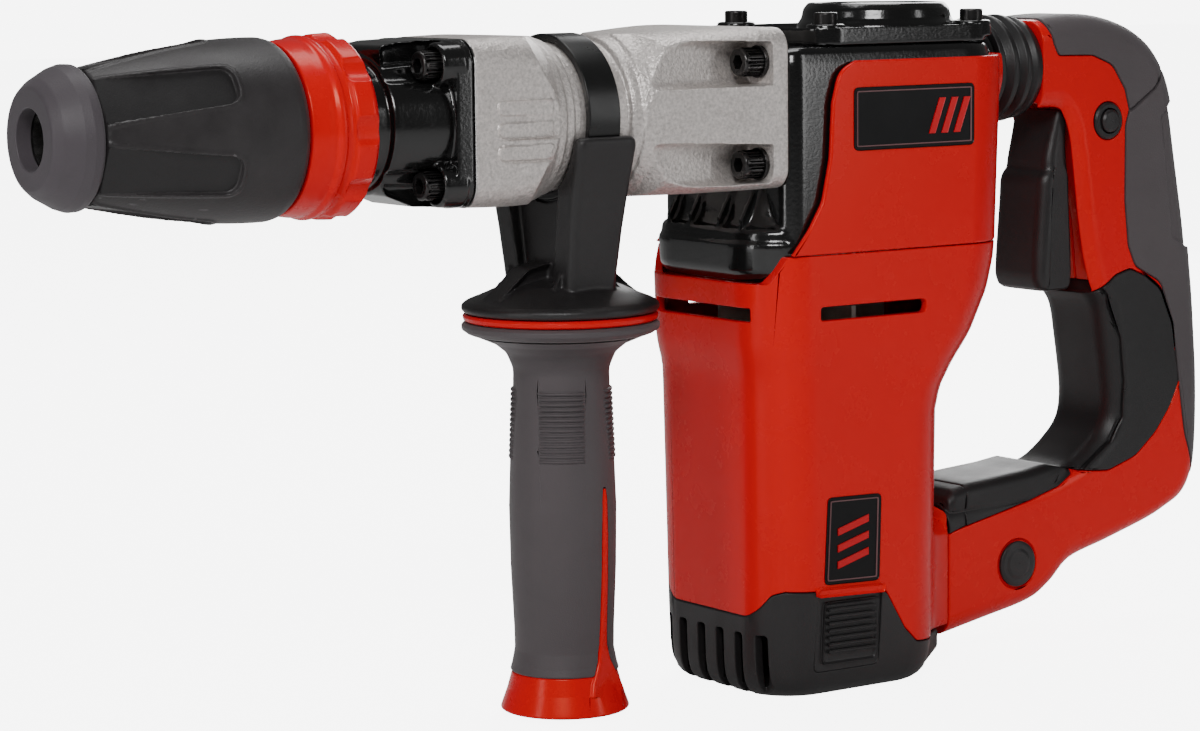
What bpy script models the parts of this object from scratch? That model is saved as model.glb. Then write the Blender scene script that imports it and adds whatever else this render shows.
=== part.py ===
"""Demolition hammer: motor upright, striking axis along X, rear D-handle and swivelling side handle.

Sizes are in millimetres and are turned into metres where a mesh is made. The origin is where the
motor's axis meets the flat bottom of the base cap. The tool points to -X, the rear handle to +X.
"""

import math

import bmesh
import bpy
from mathutils import Matrix

MM = 0.001
GAP = 0.3               # between pieces that touch or slide
COARSE = 16             # sides of a hidden round piece
FINE = 24               # sides of a visible round piece, and of one that turns in another

# Striking axis, from the nose to the crank
AXIS_Z = 195.5
NOSE_X = -285.5
CAP_REAR_X = -270.8
CONE_REAR_X = -205.6
RING_REAR_X = -182.5
TUBE_FRONT_X = -193.0
PLATE_FRONT_X = -154.0
PLATE_REAR_X = -147.4
NECK_X = -99.0          # centre of the clamp band and of the side handle
BARREL_REAR_X = -33.3
CRANK_X = 33.0
SHANK_BORE_R = 9.1      # takes an 18 mm tool shank
SPINDLE_R = 15.0
NECK_R = 24.0
NECK_RING_R = 25.6

# Crank drive
MODULE = 1.5
GEAR_TEETH = 36
PINION_TEETH = 8
CRANK_R = 12.5
ROD_LENGTH = 75.0
GEAR_Z = 165.0
FAN_BLADES = 6

# Motor housing
SEAM_Z = 148.2          # seam between the motor housing and the upper cover
COLLAR_Z = 139.3        # front edge of the motor housing
HALF_WIDTH = 38.6
WALL = 3.0

# Rear handle
HANDLE_HALF = 17.0
FOOT_X = 52.0           # seam between the motor housing's foot and the handle
PIVOT = (83.5, 31.0)
TRIGGER_PIVOT = (106.0, 187.0)
LOCK = (125.5, 186.0)

# Side handle
DISC_R = 32.3
GRIP_BOTTOM = 1.5

COLOURS = {
    "red_plastic": ((0.46, 0.004, 0.009), 0.32, 0.0),
    "black_plastic": ((0.018, 0.017, 0.018), 0.45, 0.0),
    "gloss_black": ((0.006, 0.006, 0.006), 0.16, 0.2),
    "grey_rubber": ((0.075, 0.06, 0.064), 0.7, 0.0),
    "black_rubber": ((0.02, 0.018, 0.019), 0.65, 0.0),
    "cast_aluminium": ((0.55, 0.51, 0.50), 0.42, 0.9),
    "steel": ((0.45, 0.45, 0.46), 0.28, 1.0),
    "dark_steel": ((0.05, 0.05, 0.055), 0.3, 1.0),
    "copper": ((0.6, 0.25, 0.12), 0.35, 1.0),
    "laminations": ((0.25, 0.25, 0.27), 0.4, 1.0),
    "carbon": ((0.03, 0.03, 0.03), 0.8, 0.0),
    "brass": ((0.65, 0.48, 0.18), 0.35, 1.0),
    "nylon": ((0.55, 0.54, 0.5), 0.5, 0.0),
}


# ---------------------------------------------------------------- scene and materials

def clear_scene():
    for obj in list(bpy.data.objects):
        bpy.data.objects.remove(obj, do_unlink=True)


def new_collection(name):
    collection = bpy.data.collections.new(name)
    bpy.context.scene.collection.children.link(collection)
    return collection


def material(kind, name):
    colour, roughness, metallic = COLOURS[kind]
    mat = bpy.data.materials.new(name)
    mat.use_nodes = True
    shader = mat.node_tree.nodes["Principled BSDF"]
    shader.inputs["Base Color"].default_value = (*colour, 1.0)
    shader.inputs["Roughness"].default_value = roughness
    shader.inputs["Metallic"].default_value = metallic
    return mat


clear_scene()
PARTS = new_collection("demolition_hammer")
CUTTERS = new_collection("cutters")


def place(name, mesh, kind):
    """Link a mesh as a named part, or as a hidden cutter when kind is None."""
    obj = bpy.data.objects.new(name, mesh)
    if kind is None:
        CUTTERS.objects.link(obj)
        obj.hide_render = True
        obj.display_type = "WIRE"
    else:
        PARTS.objects.link(obj)
        mesh.materials.append(material(kind, name))
        mesh.shade_smooth()
        mesh.set_sharp_from_angle(angle=math.radians(35))
    return obj


# ---------------------------------------------------------------- shapes

def rounded(obj, width, segments=2, angle=30):
    if width:
        bevel = obj.modifiers.new("Bevel", "BEVEL")
        bevel.width = width * MM
        bevel.segments = segments
        bevel.limit_method = "ANGLE"
        bevel.angle_limit = math.radians(angle)
    return obj


def block(name, kind, low, high, bevel=0, segments=2):
    bm = bmesh.new()
    bmesh.ops.create_cube(bm, size=1)
    size = [(b - a) * MM for a, b in zip(low, high)]
    bmesh.ops.scale(bm, vec=size, verts=bm.verts)
    mesh = bpy.data.meshes.new(name)
    bm.to_mesh(mesh)
    bm.free()
    obj = place(name, mesh, kind)
    obj.location = [(a + b) / 2 * MM for a, b in zip(low, high)]
    return rounded(obj, bevel, segments)


TURN = {"X": (0, math.pi / 2, 0), "Y": (-math.pi / 2, 0, 0), "Z": (0, 0, 0)}


def turned(name, kind, profile, centre=(0, 0, 0), axis="Z", steps=COARSE):
    """Turn an outline of (along, radius) points about an axis through centre."""
    points = [(radius, along) for along, radius in profile]
    following = points[1:] + points[:1]
    area = sum(p[0] * q[1] - q[0] * p[1] for p, q in zip(points, following))
    if area > 0:
        points.reverse()
    count = len(points)
    ring = all(radius > 0 for radius, _ in points)
    edges = [(i, (i + 1) % count) for i in range(count if ring else count - 1)]
    mesh = bpy.data.meshes.new(name)
    mesh.from_pydata([(r * MM, 0, a * MM) for r, a in points], edges, [])
    obj = place(name, mesh, kind)
    obj.location = [c * MM for c in centre]
    obj.rotation_euler = TURN[axis]
    screw = obj.modifiers.new("Screw", "SCREW")
    screw.steps = screw.render_steps = steps
    screw.use_merge_vertices = True
    screw.merge_threshold = 0.00001
    return obj


def rod(name, kind, start, end, radius, centre=(0, 0, 0), axis="Z", steps=COARSE, edge=0):
    """A round bar from start to end along the axis, with small chamfers."""
    side = [(start, radius - edge), (start + edge, radius), (end - edge, radius), (end, radius - edge)]
    if not edge:
        side = [(start, radius), (end, radius)]
    return turned(name, kind, [(start, 0), *side, (end, 0)], centre, axis, steps)


def ring(name, kind, start, end, inner, outer, centre=(0, 0, 0), axis="Z", steps=COARSE, edge=0.6):
    side = [(start, outer - edge), (start + edge, outer), (end - edge, outer), (end, outer - edge)]
    if not edge:
        side = [(start, outer), (end, outer)]
    return turned(name, kind, [(start, inner), *side, (end, inner)], centre, axis, steps)


PLANES = {
    "XY": Matrix.Identity(4),
    "XZ": Matrix(((1, 0, 0, 0), (0, 0, -1, 0), (0, 1, 0, 0), (0, 0, 0, 1))),
    "YZ": Matrix(((0, 0, 1, 0), (1, 0, 0, 0), (0, 1, 0, 0), (0, 0, 0, 1))),
}


def mesh_of_curve(curve, matrix):
    """The welded mesh of a curve, with the curve itself removed."""
    obj = bpy.data.objects.new("outline", curve)
    PARTS.objects.link(obj)
    bpy.context.view_layer.update()
    evaluated = obj.evaluated_get(bpy.context.evaluated_depsgraph_get())
    mesh = bpy.data.meshes.new_from_object(evaluated)
    bpy.data.objects.remove(obj, do_unlink=True)
    bm = bmesh.new()
    bm.from_mesh(mesh)
    bmesh.ops.remove_doubles(bm, verts=bm.verts, dist=0.000002)
    bmesh.ops.transform(bm, matrix=matrix, verts=bm.verts)
    bmesh.ops.recalc_face_normals(bm, faces=bm.faces)
    bm.to_mesh(mesh)
    bm.free()
    return mesh


def slab(name, kind, outline, low, high, plane="XZ", bevel=0, segments=2):
    """A flat outline given thickness from low to high along the plane's normal."""
    curve = bpy.data.curves.new(name, "CURVE")
    curve.dimensions = "2D"
    curve.fill_mode = "BOTH"
    curve.extrude = (high - low) / 2 * MM
    spline = curve.splines.new("POLY")
    spline.points.add(len(outline) - 1)
    for point, (u, v) in zip(spline.points, outline):
        point.co = (u * MM, v * MM, 0, 1)
    spline.use_cyclic_u = True
    mesh = mesh_of_curve(curve, PLANES[plane])
    obj = place(name, mesh, kind)
    middle = (low + high) / 2 * MM
    obj.location = {"XY": (0, 0, middle), "XZ": (0, middle, 0), "YZ": (middle, 0, 0)}[plane]
    return rounded(obj, bevel, segments)


def coil(name, kind, start, end, radius, wire, turns, centre, axis="X"):
    """A compression spring whose axis runs through centre."""
    per_turn = 8
    count = int(turns * per_turn) + 1
    curve = bpy.data.curves.new(name, "CURVE")
    curve.dimensions = "3D"
    curve.bevel_depth = wire * MM
    curve.bevel_resolution = 0
    curve.use_fill_caps = True
    spline = curve.splines.new("POLY")
    spline.points.add(count - 1)
    for i, point in enumerate(spline.points):
        angle = 2 * math.pi * i / per_turn
        along = start + (end - start) * i / (count - 1)
        point.co = (radius * math.cos(angle) * MM, radius * math.sin(angle) * MM, along * MM, 1)
    mesh = mesh_of_curve(curve, Matrix.Identity(4))
    obj = place(name, mesh, kind)
    obj.location = [c * MM for c in centre]
    obj.rotation_euler = TURN[axis]
    return obj


def rounded_rectangle(u0, u1, v0, v1, radii, corner=3):
    """Points round a rectangle; radii is one value or one for each corner from (u1, v1) anticlockwise."""
    radii = radii if isinstance(radii, (list, tuple)) else [radii] * 4
    corners = [(u1, v1, 0), (u0, v1, 90), (u0, v0, 180), (u1, v0, 270)]
    points = []
    for (u, v, turn), r in zip(corners, radii):
        cu = u - math.copysign(r, u - (u0 + u1) / 2)
        cv = v - math.copysign(r, v - (v0 + v1) / 2)
        for i in range(corner + 1):
            angle = math.radians(turn + 90 * i / corner)
            points.append((cu + r * math.cos(angle), cv + r * math.sin(angle)))
    return points


def loft(name, kind, sections, along="Z", bevel=0):
    """Skin a list of (level, outline) sections that share one point count."""
    put = {"Z": lambda u, v, w: (u, v, w), "X": lambda u, v, w: (w, u, v)}[along]
    bm = bmesh.new()
    rings = [[bm.verts.new([c * MM for c in put(u, v, level)]) for u, v in outline] for level, outline in sections]
    for lower, upper in zip(rings, rings[1:]):
        for i in range(len(lower)):
            j = (i + 1) % len(lower)
            bm.faces.new((lower[i], lower[j], upper[j], upper[i]))
    bm.faces.new(rings[0])
    bm.faces.new(rings[-1])
    bmesh.ops.recalc_face_normals(bm, faces=bm.faces)
    mesh = bpy.data.meshes.new(name)
    bm.to_mesh(mesh)
    bm.free()
    return rounded(place(name, mesh, kind), bevel)


def combine(target, tool, operation):
    boolean = target.modifiers.new(tool.name, "BOOLEAN")
    boolean.operation = operation
    boolean.solver = "EXACT"
    boolean.object = tool
    return target


def cut(target, *tools):
    for tool in tools:
        combine(target, tool, "DIFFERENCE")
    return target


def join(target, *tools):
    for tool in tools:
        combine(target, tool, "UNION")
    return target


def hang(name, origin, *pieces):
    """Parent moving pieces to an empty on their joint's axis."""
    empty = bpy.data.objects.new(name + "_axis", None)
    PARTS.objects.link(empty)
    empty.location = [c * MM for c in origin]
    for piece in pieces:
        piece.parent = empty
        piece.matrix_parent_inverse = Matrix.Translation(empty.location).inverted()


# ---------------------------------------------------------------- housing

def motor_sections(grow, z_low, z_high):
    """Rounded outlines of the motor housing at a few heights, moved in or out by grow."""
    table = [
        (24.5, -39.5, 38.0, 36.4),
        (98.0, -42.0, 38.8, 37.8),
        (112.0, -42.4, 51.0, 38.1),
        (126.0, -42.8, 61.5, 38.3),
        (SEAM_Z, -43.5, 67.5, HALF_WIDTH),
    ]
    rows = [row for row in table if z_low < row[0] < z_high]
    rows = [(z_low, *width_at(table, z_low))] + rows + [(z_high, *width_at(table, z_high))]
    return [
        (z, rounded_rectangle(front - grow, rear + grow, -half - grow, half + grow, 19 + grow))
        for z, front, rear, half in rows
    ]


def width_at(table, z):
    """Front, rear and half width at height z, straight between the rows of the table."""
    z = min(max(z, table[0][0]), table[-1][0])
    for low, high in zip(table, table[1:]):
        if low[0] <= z <= high[0]:
            t = (z - low[0]) / (high[0] - low[0])
            return tuple(a + (b - a) * t for a, b in zip(low[1:], high[1:]))


BASE_LINE = [(-60, 25.5), (-41.5, 25.5), (-38.5, 28.5), (-35.5, 35.5), (-33.5, 36.5), (4.0, 35.0), (7.0, 33.0),
             (16.0, 19.5), (21.5, 14.5), (38.0, 12.5), (44.0, 12.5)]


def motor_housing():
    shell = loft("motor_housing", "red_plastic", motor_sections(0, 8.0, SEAM_Z))
    foot = loft("foot", None, [
        (30.0, rounded_rectangle(-26, 26, 8.5, 51, 8)),
        (41.0, rounded_rectangle(-22, 22, 8.5, 52, 8)),
        (FOOT_X - 1.0, rounded_rectangle(-18, 18, 9.0, 54, 8)),
    ], along="X")
    tongue = slab("tongue", None, [(40, 22), (PIVOT[0], 22), (91, 26), (91, 36), (PIVOT[0], 40), (40, 44)], -6.5, 6.5)
    room = loft("motor_room", None, motor_sections(-WALL, 2.0, SEAM_Z + 2))
    collar = [(-60, 200), (-60, COLLAR_Z), (-38.4, COLLAR_Z), (-38.2, 142.4), (-33.2, SEAM_Z), (-33.2, 200)]
    front = slab("collar_cut", None, collar, -60, 60)
    base = slab("base_gap", None, BASE_LINE + [(44, -5), (-60, -5)], -60, 60)
    hole = rod("pivot_hole", None, -20, 20, 4.3, (PIVOT[0], 0, PIVOT[1]), "Y")
    slots = []
    for side in (-1, 1):
        low, high = sorted((side * 30, side * 45))
        slots.append(block("side_slot", None, (-21.5, low, 126.5), (23.5, high, 131.2)))
    slots.append(block("front_slot", None, (-50, -26, 126.5), (-36, 26, 131.2)))
    join(shell, foot)
    cut(shell, room)
    join(shell, tongue)
    return cut(shell, front, base, hole, *slots)


def base_cap():
    """The black tray under the motor, with a tongue rising on each side."""
    outer = motor_sections(0, 4.0, 37.0)
    foot = (0.0, rounded_rectangle(-35.0, 34.0, -33.0, 33.0, 15))
    cap = loft("base_cap", "black_plastic", [foot] + outer)
    heel = loft("heel", None, [
        (30.0, rounded_rectangle(-25, 25, 2.0, 12.0, 1.5)),
        (42.5, rounded_rectangle(-19, 19, 4.5, 12.0, 1.5)),
    ], along="X")
    room = loft("base_room", None, motor_sections(-WALL, 3.2, 60))
    line = [(x, z - GAP) for x, z in BASE_LINE]
    above = slab("above_line", None, line + [(44, 60), (-60, 60)], -60, 60)
    vents = [block("vent", None, (-60, y - 1.9, 5.5), (-30, y + 1.9, 21.0)) for y in (-22, -11, 0, 11, 22)]
    join(cap, heel)
    cut(cap, room, above, *vents)
    seat = ring("bearing_seat", None, 2.5, 20.0, 11.3, 14.0)
    return join(cap, seat)


def upper_cover():
    def outline(z, rear, grow):
        return (z, rounded_rectangle(-60, rear + grow, -HALF_WIDTH - grow, HALF_WIDTH + grow, 20 + grow))

    def stack(grow, low, high):
        return [outline(low, 67.5, grow), outline(180, 70.5, grow), outline(198, 72.5, grow), outline(high, 72.5, grow)]

    low = SEAM_Z + GAP
    shell = loft("upper_cover", "red_plastic", stack(0, low, 211.5))
    room = loft("cover_room", None, stack(-2.4, low - 2, 214))
    front = [(-90, 140), (-33.4, 140), (-33.2, low), (-25.8, 157.5), (-20.3, 165.8), (-17.2, 180), (-16.4, 196)]
    front += [(-15.4, 204), (-12.0, 209.0), (-7.0, 212.5), (-90, 212.5)]
    window = slab("front_opening", None, front, -60, 60)
    neck = rod("neck_hole", None, 55, 90, 17.2, (0, 0, 205.5), "X", FINE)
    return cut(shell, room, window, neck)


def crankcase():
    """Black casting round the crank, with a bowl that closes the top of the motor housing."""
    case = loft("crankcase", "gloss_black", [
        (SEAM_Z + 0.4, rounded_rectangle(-32.9, 64.0, -35.8, 35.8, [17, 6, 6, 17])),
        (204, rounded_rectangle(-32.9, 66.5, -35.8, 35.8, [17, 6, 6, 17])),
        (216, rounded_rectangle(-32.9, 66.5, -34.0, 34.0, [17, 6, 6, 17])),
    ])
    bowl = loft("bowl", None, [
        (COLLAR_Z + 0.5, rounded_rectangle(-41.6, 52, -35.0, 35.0, 19)),
        (154, rounded_rectangle(-42.2, 52, -35.2, 35.2, 19)),
        (156.5, rounded_rectangle(-40.5, 50, -34.0, 34.0, 17)),
        (168, rounded_rectangle(-34.5, 50, -30.0, 30.0, 14)),
    ])
    neck = rod("bellows_neck", None, 64.0, 74.0, 15.0, (0, 0, 205.5), "X", FINE)
    room = block("gear_room", None, (-13, -31.5, 163.5), (61.5, 31.5, 220))
    bore = rod("rod_bore", None, -60, 0, 19.3, (0, 0, AXIS_Z), "X", FINE)
    shaft = rod("shaft_hole", None, 130, 170, 6.5)
    seat = rod("upper_seat", None, 130, 152.6, 16.3, steps=FINE)
    crank_seat = rod("crank_seat", None, 151.7, 170, 14.3, (CRANK_X, 0, 0), steps=FINE)
    spring_seat = rod("spring_seat", None, 67, 80, 10.8, (0, 0, 205.5), "X")
    join(case, bowl, neck)
    return cut(case, room, bore, shaft, seat, crank_seat, spring_seat)


def top_cap():
    lid = slab("top_cap", "gloss_black", rounded_rectangle(-18, 63.5, -33, 33, [15, 10, 10, 15]), 216.3, 223.0,
               "XY", bevel=1.6)
    boss = turned("boss", None, [(219, 0), (219, 26.0), (223.5, 26.0), (228.0, 24.6), (229.6, 23.2), (229.6, 20.5),
                                 (228.9, 19.8), (228.9, 0)], (CRANK_X, 0, 0), steps=FINE)
    return join(lid, boss)


def barrel_housing():
    """Silver casting: rear block, clamp neck with a ring at each end, and front block."""
    def square(x, half_y, low, high, r):
        return (x, rounded_rectangle(-half_y, half_y, low, high, r, corner=5))

    def round_section(x, r):
        return square(x, r - 0.01, AXIS_Z - r, AXIS_Z + r, r - 0.02)

    barrel = loft("barrel_housing", "cast_aluminium", [
        square(PLATE_REAR_X + GAP, 26.2, 169.2, 221.9, 9),
        square(-130, 27.4, 169.0, 222.4, 11),
        square(-119.5, 27.4, 169.5, 222.0, 19),
        round_section(-115.2, NECK_RING_R),
        round_section(-109.6, NECK_RING_R),
        round_section(-109.4, NECK_R),
        round_section(-88.0, NECK_R),
        round_section(-87.8, NECK_RING_R),
        round_section(-84.0, NECK_RING_R),
        square(-81.0, 27.2, 169.0, 221.5, 19),
        square(-60.0, 32.4, 169.8, 222.6, 12),
        square(-46.0, 36.0, 170.4, 223.0, 8),
        square(BARREL_REAR_X, 36.4, 170.7, 223.0, 7),
    ], along="X")
    channels = []
    for side in (-1, 1):
        for low, high, z0, z1 in ((205.5, 218.0, 206.5, 214.5), (173.0, 185.0, 175.5, 184.0)):
            near, far = sorted((side * 26.6, side * 45)), sorted((side * 21.5, side * 45))
            channels.append(loft("bolt_channel", None, [
                (-82.0, rounded_rectangle(near[0], near[1], z0, z1, 2)),
                (-39.0, rounded_rectangle(far[0], far[1], low, high, 2.5)),
            ], along="X"))
    bore = rod("cylinder_bore", None, -150, -20, 19.0, (0, 0, AXIS_Z), "X", FINE)
    return cut(barrel, bore, *channels)


def front_flange():
    """Black flange with the tube the spindle runs in, and a rib above and below it."""
    flange = slab("front_flange", "gloss_black",
                  [(y, z + AXIS_Z) for y, z in rounded_rectangle(-25.6, 25.6, -26.0, 26.2, 8)],
                  PLATE_FRONT_X, PLATE_REAR_X, "YZ", bevel=0.8)
    tube = ring("tube", None, TUBE_FRONT_X, -149.0, SPINDLE_R + GAP, 19.5, (0, 0, AXIS_Z), "X", FINE)
    top = slab("top_rib", None, [(-173, AXIS_Z + 18), (-173, AXIS_Z + 25.0), (-150, AXIS_Z + 26.2), (-150, AXIS_Z + 18)],
               -12.6, 12.6)
    bottom = slab("bottom_rib", None, [(-173, AXIS_Z - 18), (-150, AXIS_Z - 18), (-150, AXIS_Z - 25.9),
                                       (-163, AXIS_Z - 25.0), (-173, AXIS_Z - 20.5)], -12.6, 12.6)
    bore = rod("spindle_bore", None, -160, -140, 17.5, (0, 0, AXIS_Z), "X", FINE)
    cut(flange, bore)
    return join(flange, top, bottom, tube)


def socket_bolt(name, x_seat, length, y, z, head_r):
    """The head of a hexagon socket bolt, standing in front of x_seat."""
    front = x_seat - length
    outline = [(x_seat, 0), (x_seat, head_r), (front, head_r), (front, 2.5), (front + 3.0, 2.5), (front + 3.0, 0)]
    return turned(name, "dark_steel", outline, (0, y, z), "X", 12)


def bolts():
    for i, (side_y, side_z) in enumerate(((-1, 1), (-1, -1), (1, 1), (1, -1)), 1):
        socket_bolt(f"flange_bolt_{i}", PLATE_FRONT_X - GAP, 9.5, side_y * 18.8, AXIS_Z + side_z * 18.6, 4.4)
        z = 212.0 if side_z > 0 else 178.8
        socket_bolt(f"barrel_bolt_{i}", -39.0 - GAP, 8.0, side_y * 28.6, z, 4.6)


# ---------------------------------------------------------------- motor

def bearing(name, low, high, inner, outer, centre=(0, 0, 0)):
    return ring(name, "steel", low, high, inner, outer, centre, steps=FINE, edge=0)


def motor():
    """The upright universal motor: stator in the housing, armature on its own axis."""
    ring("stator", "laminations", 58, 112, 24.2, 32.4, steps=FINE, edge=0)
    bearing("upper_bearing", 142.5, 152.3, 5.4, 16.0)
    bearing("lower_bearing", 8.0, 17.0, 5.4, 11.0)
    shaft = rod("armature_shaft", "steel", 6.0, 170.0, 5.0)
    pinion = slab("pinion", None, gear_outline(PINION_TEETH, math.pi / PINION_TEETH), GEAR_Z, GEAR_Z + 11, "XY")
    join(shaft, pinion)
    core = ring("armature_core", "laminations", 58.5, 111.5, 5.3, 23.4, edge=0)
    winding = ring("winding", None, 53.5, 116.5, 5.3, 19.0, edge=0)
    join(core, winding)
    ring("commutator", "copper", 33.5, 49.5, 5.3, 14.0)
    fan = ring("cooling_fan", "nylon", 119, 121.5, 5.3, 29.5, steps=24, edge=0)
    hub = ring("fan_hub", None, 119.5, 130, 5.3, 10.0, steps=24, edge=0)
    join(fan, hub)
    for i in range(FAN_BLADES):
        angle = 2 * math.pi * (i + 0.5) / FAN_BLADES
        blade = block("fan_blade", None, (-9.7, -0.9, 120.5), (9.7, 0.9, 129.5))
        blade.rotation_euler = (0, 0, angle)
        blade.location.x = 18.8 * MM * math.cos(angle)
        blade.location.y = 18.8 * MM * math.sin(angle)
        join(fan, blade)
    for side, label in ((-1, "left"), (1, "right")):
        low, high = sorted((side * 14.4, side * 27.0))
        block(f"brush_{label}", "carbon", (-3.4, low, 36.5), (3.4, high, 46.5), 0.3, 1)
        low, high = sorted((side * 17.0, side * 32.5))
        holder = block(f"brush_holder_{label}", "brass", (-5.6, low, 34.3), (5.6, high, 48.7))
        low, high = sorted((side * 14.0, side * 31.0))
        cut(holder, block("brush_slot", None, (-3.7, low, 36.2), (3.7, high, 46.8)))
    names = ("armature_shaft", "armature_core", "commutator", "cooling_fan")
    hang("armature", (0, 0, 0), *(bpy.data.objects[n] for n in names))


# ---------------------------------------------------------------- crank drive and striker

def gear_outline(teeth, phase, centre=(0.0, 0.0)):
    """Tooth outline with straight flanks and generous backlash."""
    pitch_r = MODULE * teeth / 2
    tip, root = pitch_r + 1.0, pitch_r - 1.7
    step = 2 * math.pi / teeth
    points = []
    for i in range(teeth):
        middle = phase + i * step
        for radius, share in ((root, -0.28), (tip, -0.11), (tip, 0.11), (root, 0.28)):
            angle = middle + share * step
            points.append((centre[0] + radius * math.cos(angle), centre[1] + radius * math.sin(angle)))
    return points


def crank_drive():
    gear = slab("crank_gear", "steel", gear_outline(GEAR_TEETH, 0, (CRANK_X, 0)), GEAR_Z, GEAR_Z + 10, "XY")
    disc = rod("crank_disc", None, GEAR_Z + 8, GEAR_Z + 15, 21, (CRANK_X, 0, 0), edge=1)
    pin = rod("crank_pin", None, GEAR_Z + 14, AXIS_Z - 6.5, 5.5, (CRANK_X + CRANK_R, 0, 0))
    hole = rod("shaft_seat", None, GEAR_Z - 5, GEAR_Z + 12, 6.3, (CRANK_X, 0, 0))
    join(gear, disc, pin)
    cut(gear, hole)
    shaft = rod("crank_shaft", "steel", 153.0, GEAR_Z + 11.5, 6.0, (CRANK_X, 0, 0), steps=24, edge=0.5)
    bearing("crank_bearing", 152.2, 163.0, 6.4, 14.0, (CRANK_X, 0, 0))
    hang("crank", (CRANK_X, 0, 0), gear, shaft)


def piston_and_rod():
    big_x = CRANK_X + CRANK_R
    small_x = big_x - ROD_LENGTH
    piston = piston_body(small_x)
    seal = ring("piston_ring", "black_rubber", small_x - 11.1, small_x - 9.3, 13.9, 15.7, (0, 0, AXIS_Z), "X", FINE, 0)
    pin = rod("wrist_pin", "steel", -12.6, 12.6, 3.6, (small_x, 0, AXIS_Z), "Z", edge=0.4)
    outline = [(small_x + 5, -4.0), (big_x - 7.5, -5.0), (big_x - 7.5, 5.0), (small_x + 5, 4.0)]
    bar = slab("connecting_rod", "steel", outline, AXIS_Z - 3.0, AXIS_Z + 3.0, "XY")
    big = ring("big_end", None, AXIS_Z - 6, AXIS_Z + 6, 5.9, 10.5, (big_x, 0, 0))
    small = ring("small_end", None, AXIS_Z - 5, AXIS_Z + 5, 3.9, 7.0, (small_x, 0, 0), edge=0)
    join(bar, big, small)
    hang("piston", (small_x, 0, AXIS_Z), piston, pin, seal)
    hang("rod", (small_x, 0, AXIS_Z), bar)


def piston_body(small_x):
    """Cup piston, open to the rear, with a groove for its ring and eyes for the wrist pin."""
    outline = [(small_x - 13.8, 0), (small_x - 13.8, 15.0), (small_x - 13.2, 15.6), (small_x - 11.4, 15.6),
               (small_x - 11.4, 13.6), (small_x - 9.0, 13.6), (small_x - 9.0, 15.6), (small_x + 10.0, 15.6),
               (small_x + 10.0, 13.0), (small_x - 8.6, 13.0), (small_x - 8.6, 0)]
    body = turned("piston", "steel", outline, (0, 0, AXIS_Z), "X", FINE)
    posts = rod("pin_posts", None, -13.4, 13.4, 6.4, (small_x, 0, AXIS_Z), "Z")
    middle = block("rod_room", None, (small_x - 8.6, -13, AXIS_Z - 5.4), (small_x + 12, 13, AXIS_Z + 5.4))
    eye = rod("pin_eye", None, -12.9, 12.9, 3.9, (small_x, 0, AXIS_Z), "Z")
    cut(posts, middle)
    join(body, posts)
    return cut(body, eye)


STRIKER_REAR = -76.0
STRIKER_FRONT = -117.0
BEAT_REAR = -132.5


def striker_train():
    """Guide cylinder, free striker and the beat piece that passes the blow to the tool."""
    at = (0, 0, AXIS_Z)
    ring("cylinder", "steel", -140, -20, 16.0, 18.7, at, "X", FINE, edge=0)
    striker = turned("striker", "steel", [
        (STRIKER_REAR, 0), (STRIKER_REAR, 15.0), (STRIKER_REAR - 0.6, 15.6), (-82.0, 15.6), (-82.0, 13.6),
        (-84.4, 13.6), (-84.4, 15.6), (-104.0, 15.6), (-107.0, 12.0), (-107.5, 8.5), (STRIKER_FRONT + 0.5, 8.0),
        (STRIKER_FRONT, 7.5), (STRIKER_FRONT, 0)], at, "X", FINE)
    seal = ring("striker_ring", "black_rubber", -84.1, -82.3, 13.9, 15.7, at, "X", FINE, 0)
    beat = turned("beat_piece", "dark_steel", [
        (BEAT_REAR, 0), (BEAT_REAR, 7.5), (BEAT_REAR - 0.5, 8.0), (-145.0, 8.0), (-147.0, 11.6), (-158.0, 11.6),
        (-160.0, 8.6), (-197.0, 8.6), (-197.8, 7.8), (-197.8, 0)], at, "X", FINE)
    hang("striker", at, striker, seal)
    hang("beat_piece", at, beat)


def tool_holder():
    """Spindle with the shank bore, the dust cap on its front end and two locking rollers."""
    at = (0, 0, AXIS_Z)
    spindle = turned("tool_spindle", "steel", [
        (-280.0, SHANK_BORE_R), (-280.0, 12.0), (-271.5, 12.0), (-271.0, SPINDLE_R), (-196.4, SPINDLE_R),
        (-196.4, 18.8), (-193.9, 18.8), (-193.9, SPINDLE_R), (-142.0, SPINDLE_R), (-142.0, 12.2),
        (-167.0, 12.2), (-167.0, SHANK_BORE_R)], at, "X", FINE)
    for side in (-1, 1):
        low, high = sorted((AXIS_Z + side * 6.0, AXIS_Z + side * 18.0))
        cut(spindle, block("roller_slot", None, (-236.4, -3.9, low), (-225.6, 3.9, high)))
    cap = turned("dust_cap", "black_rubber", [
        (NOSE_X, 9.2), (NOSE_X, 16.4), (NOSE_X + 0.7, 17.2), (-277.4, 21.2), (-275.0, 21.7), (-272.6, 21.4),
        (CAP_REAR_X, 20.0), (CAP_REAR_X, SPINDLE_R + 0.2), (-271.8, SPINDLE_R + 0.2), (-271.8, 12.3),
        (-280.4, 12.3), (-280.4, 9.2)], at, "X", FINE)
    rollers = []
    for side, label in ((1, "top"), (-1, "bottom")):
        centre = (0, 0, AXIS_Z + side * 11.3)
        rollers.append(rod(f"locking_roller_{label}", "dark_steel", -236.0, -226.0, 3.6, centre, "X", 12, edge=0.5))
    hang("tool_holder", at, spindle, cap)
    for roller in rollers:
        hang(roller.name, at, roller)


def cone_radius(x):
    """Outer radius of the cone sleeve: nearly straight, swelling towards its rear edge."""
    t = (x - CAP_REAR_X) / (CONE_REAR_X - CAP_REAR_X)
    return 20.9 + 7.3 * math.sin(min(1.0, t * 1.12) * math.pi / 2)


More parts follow.
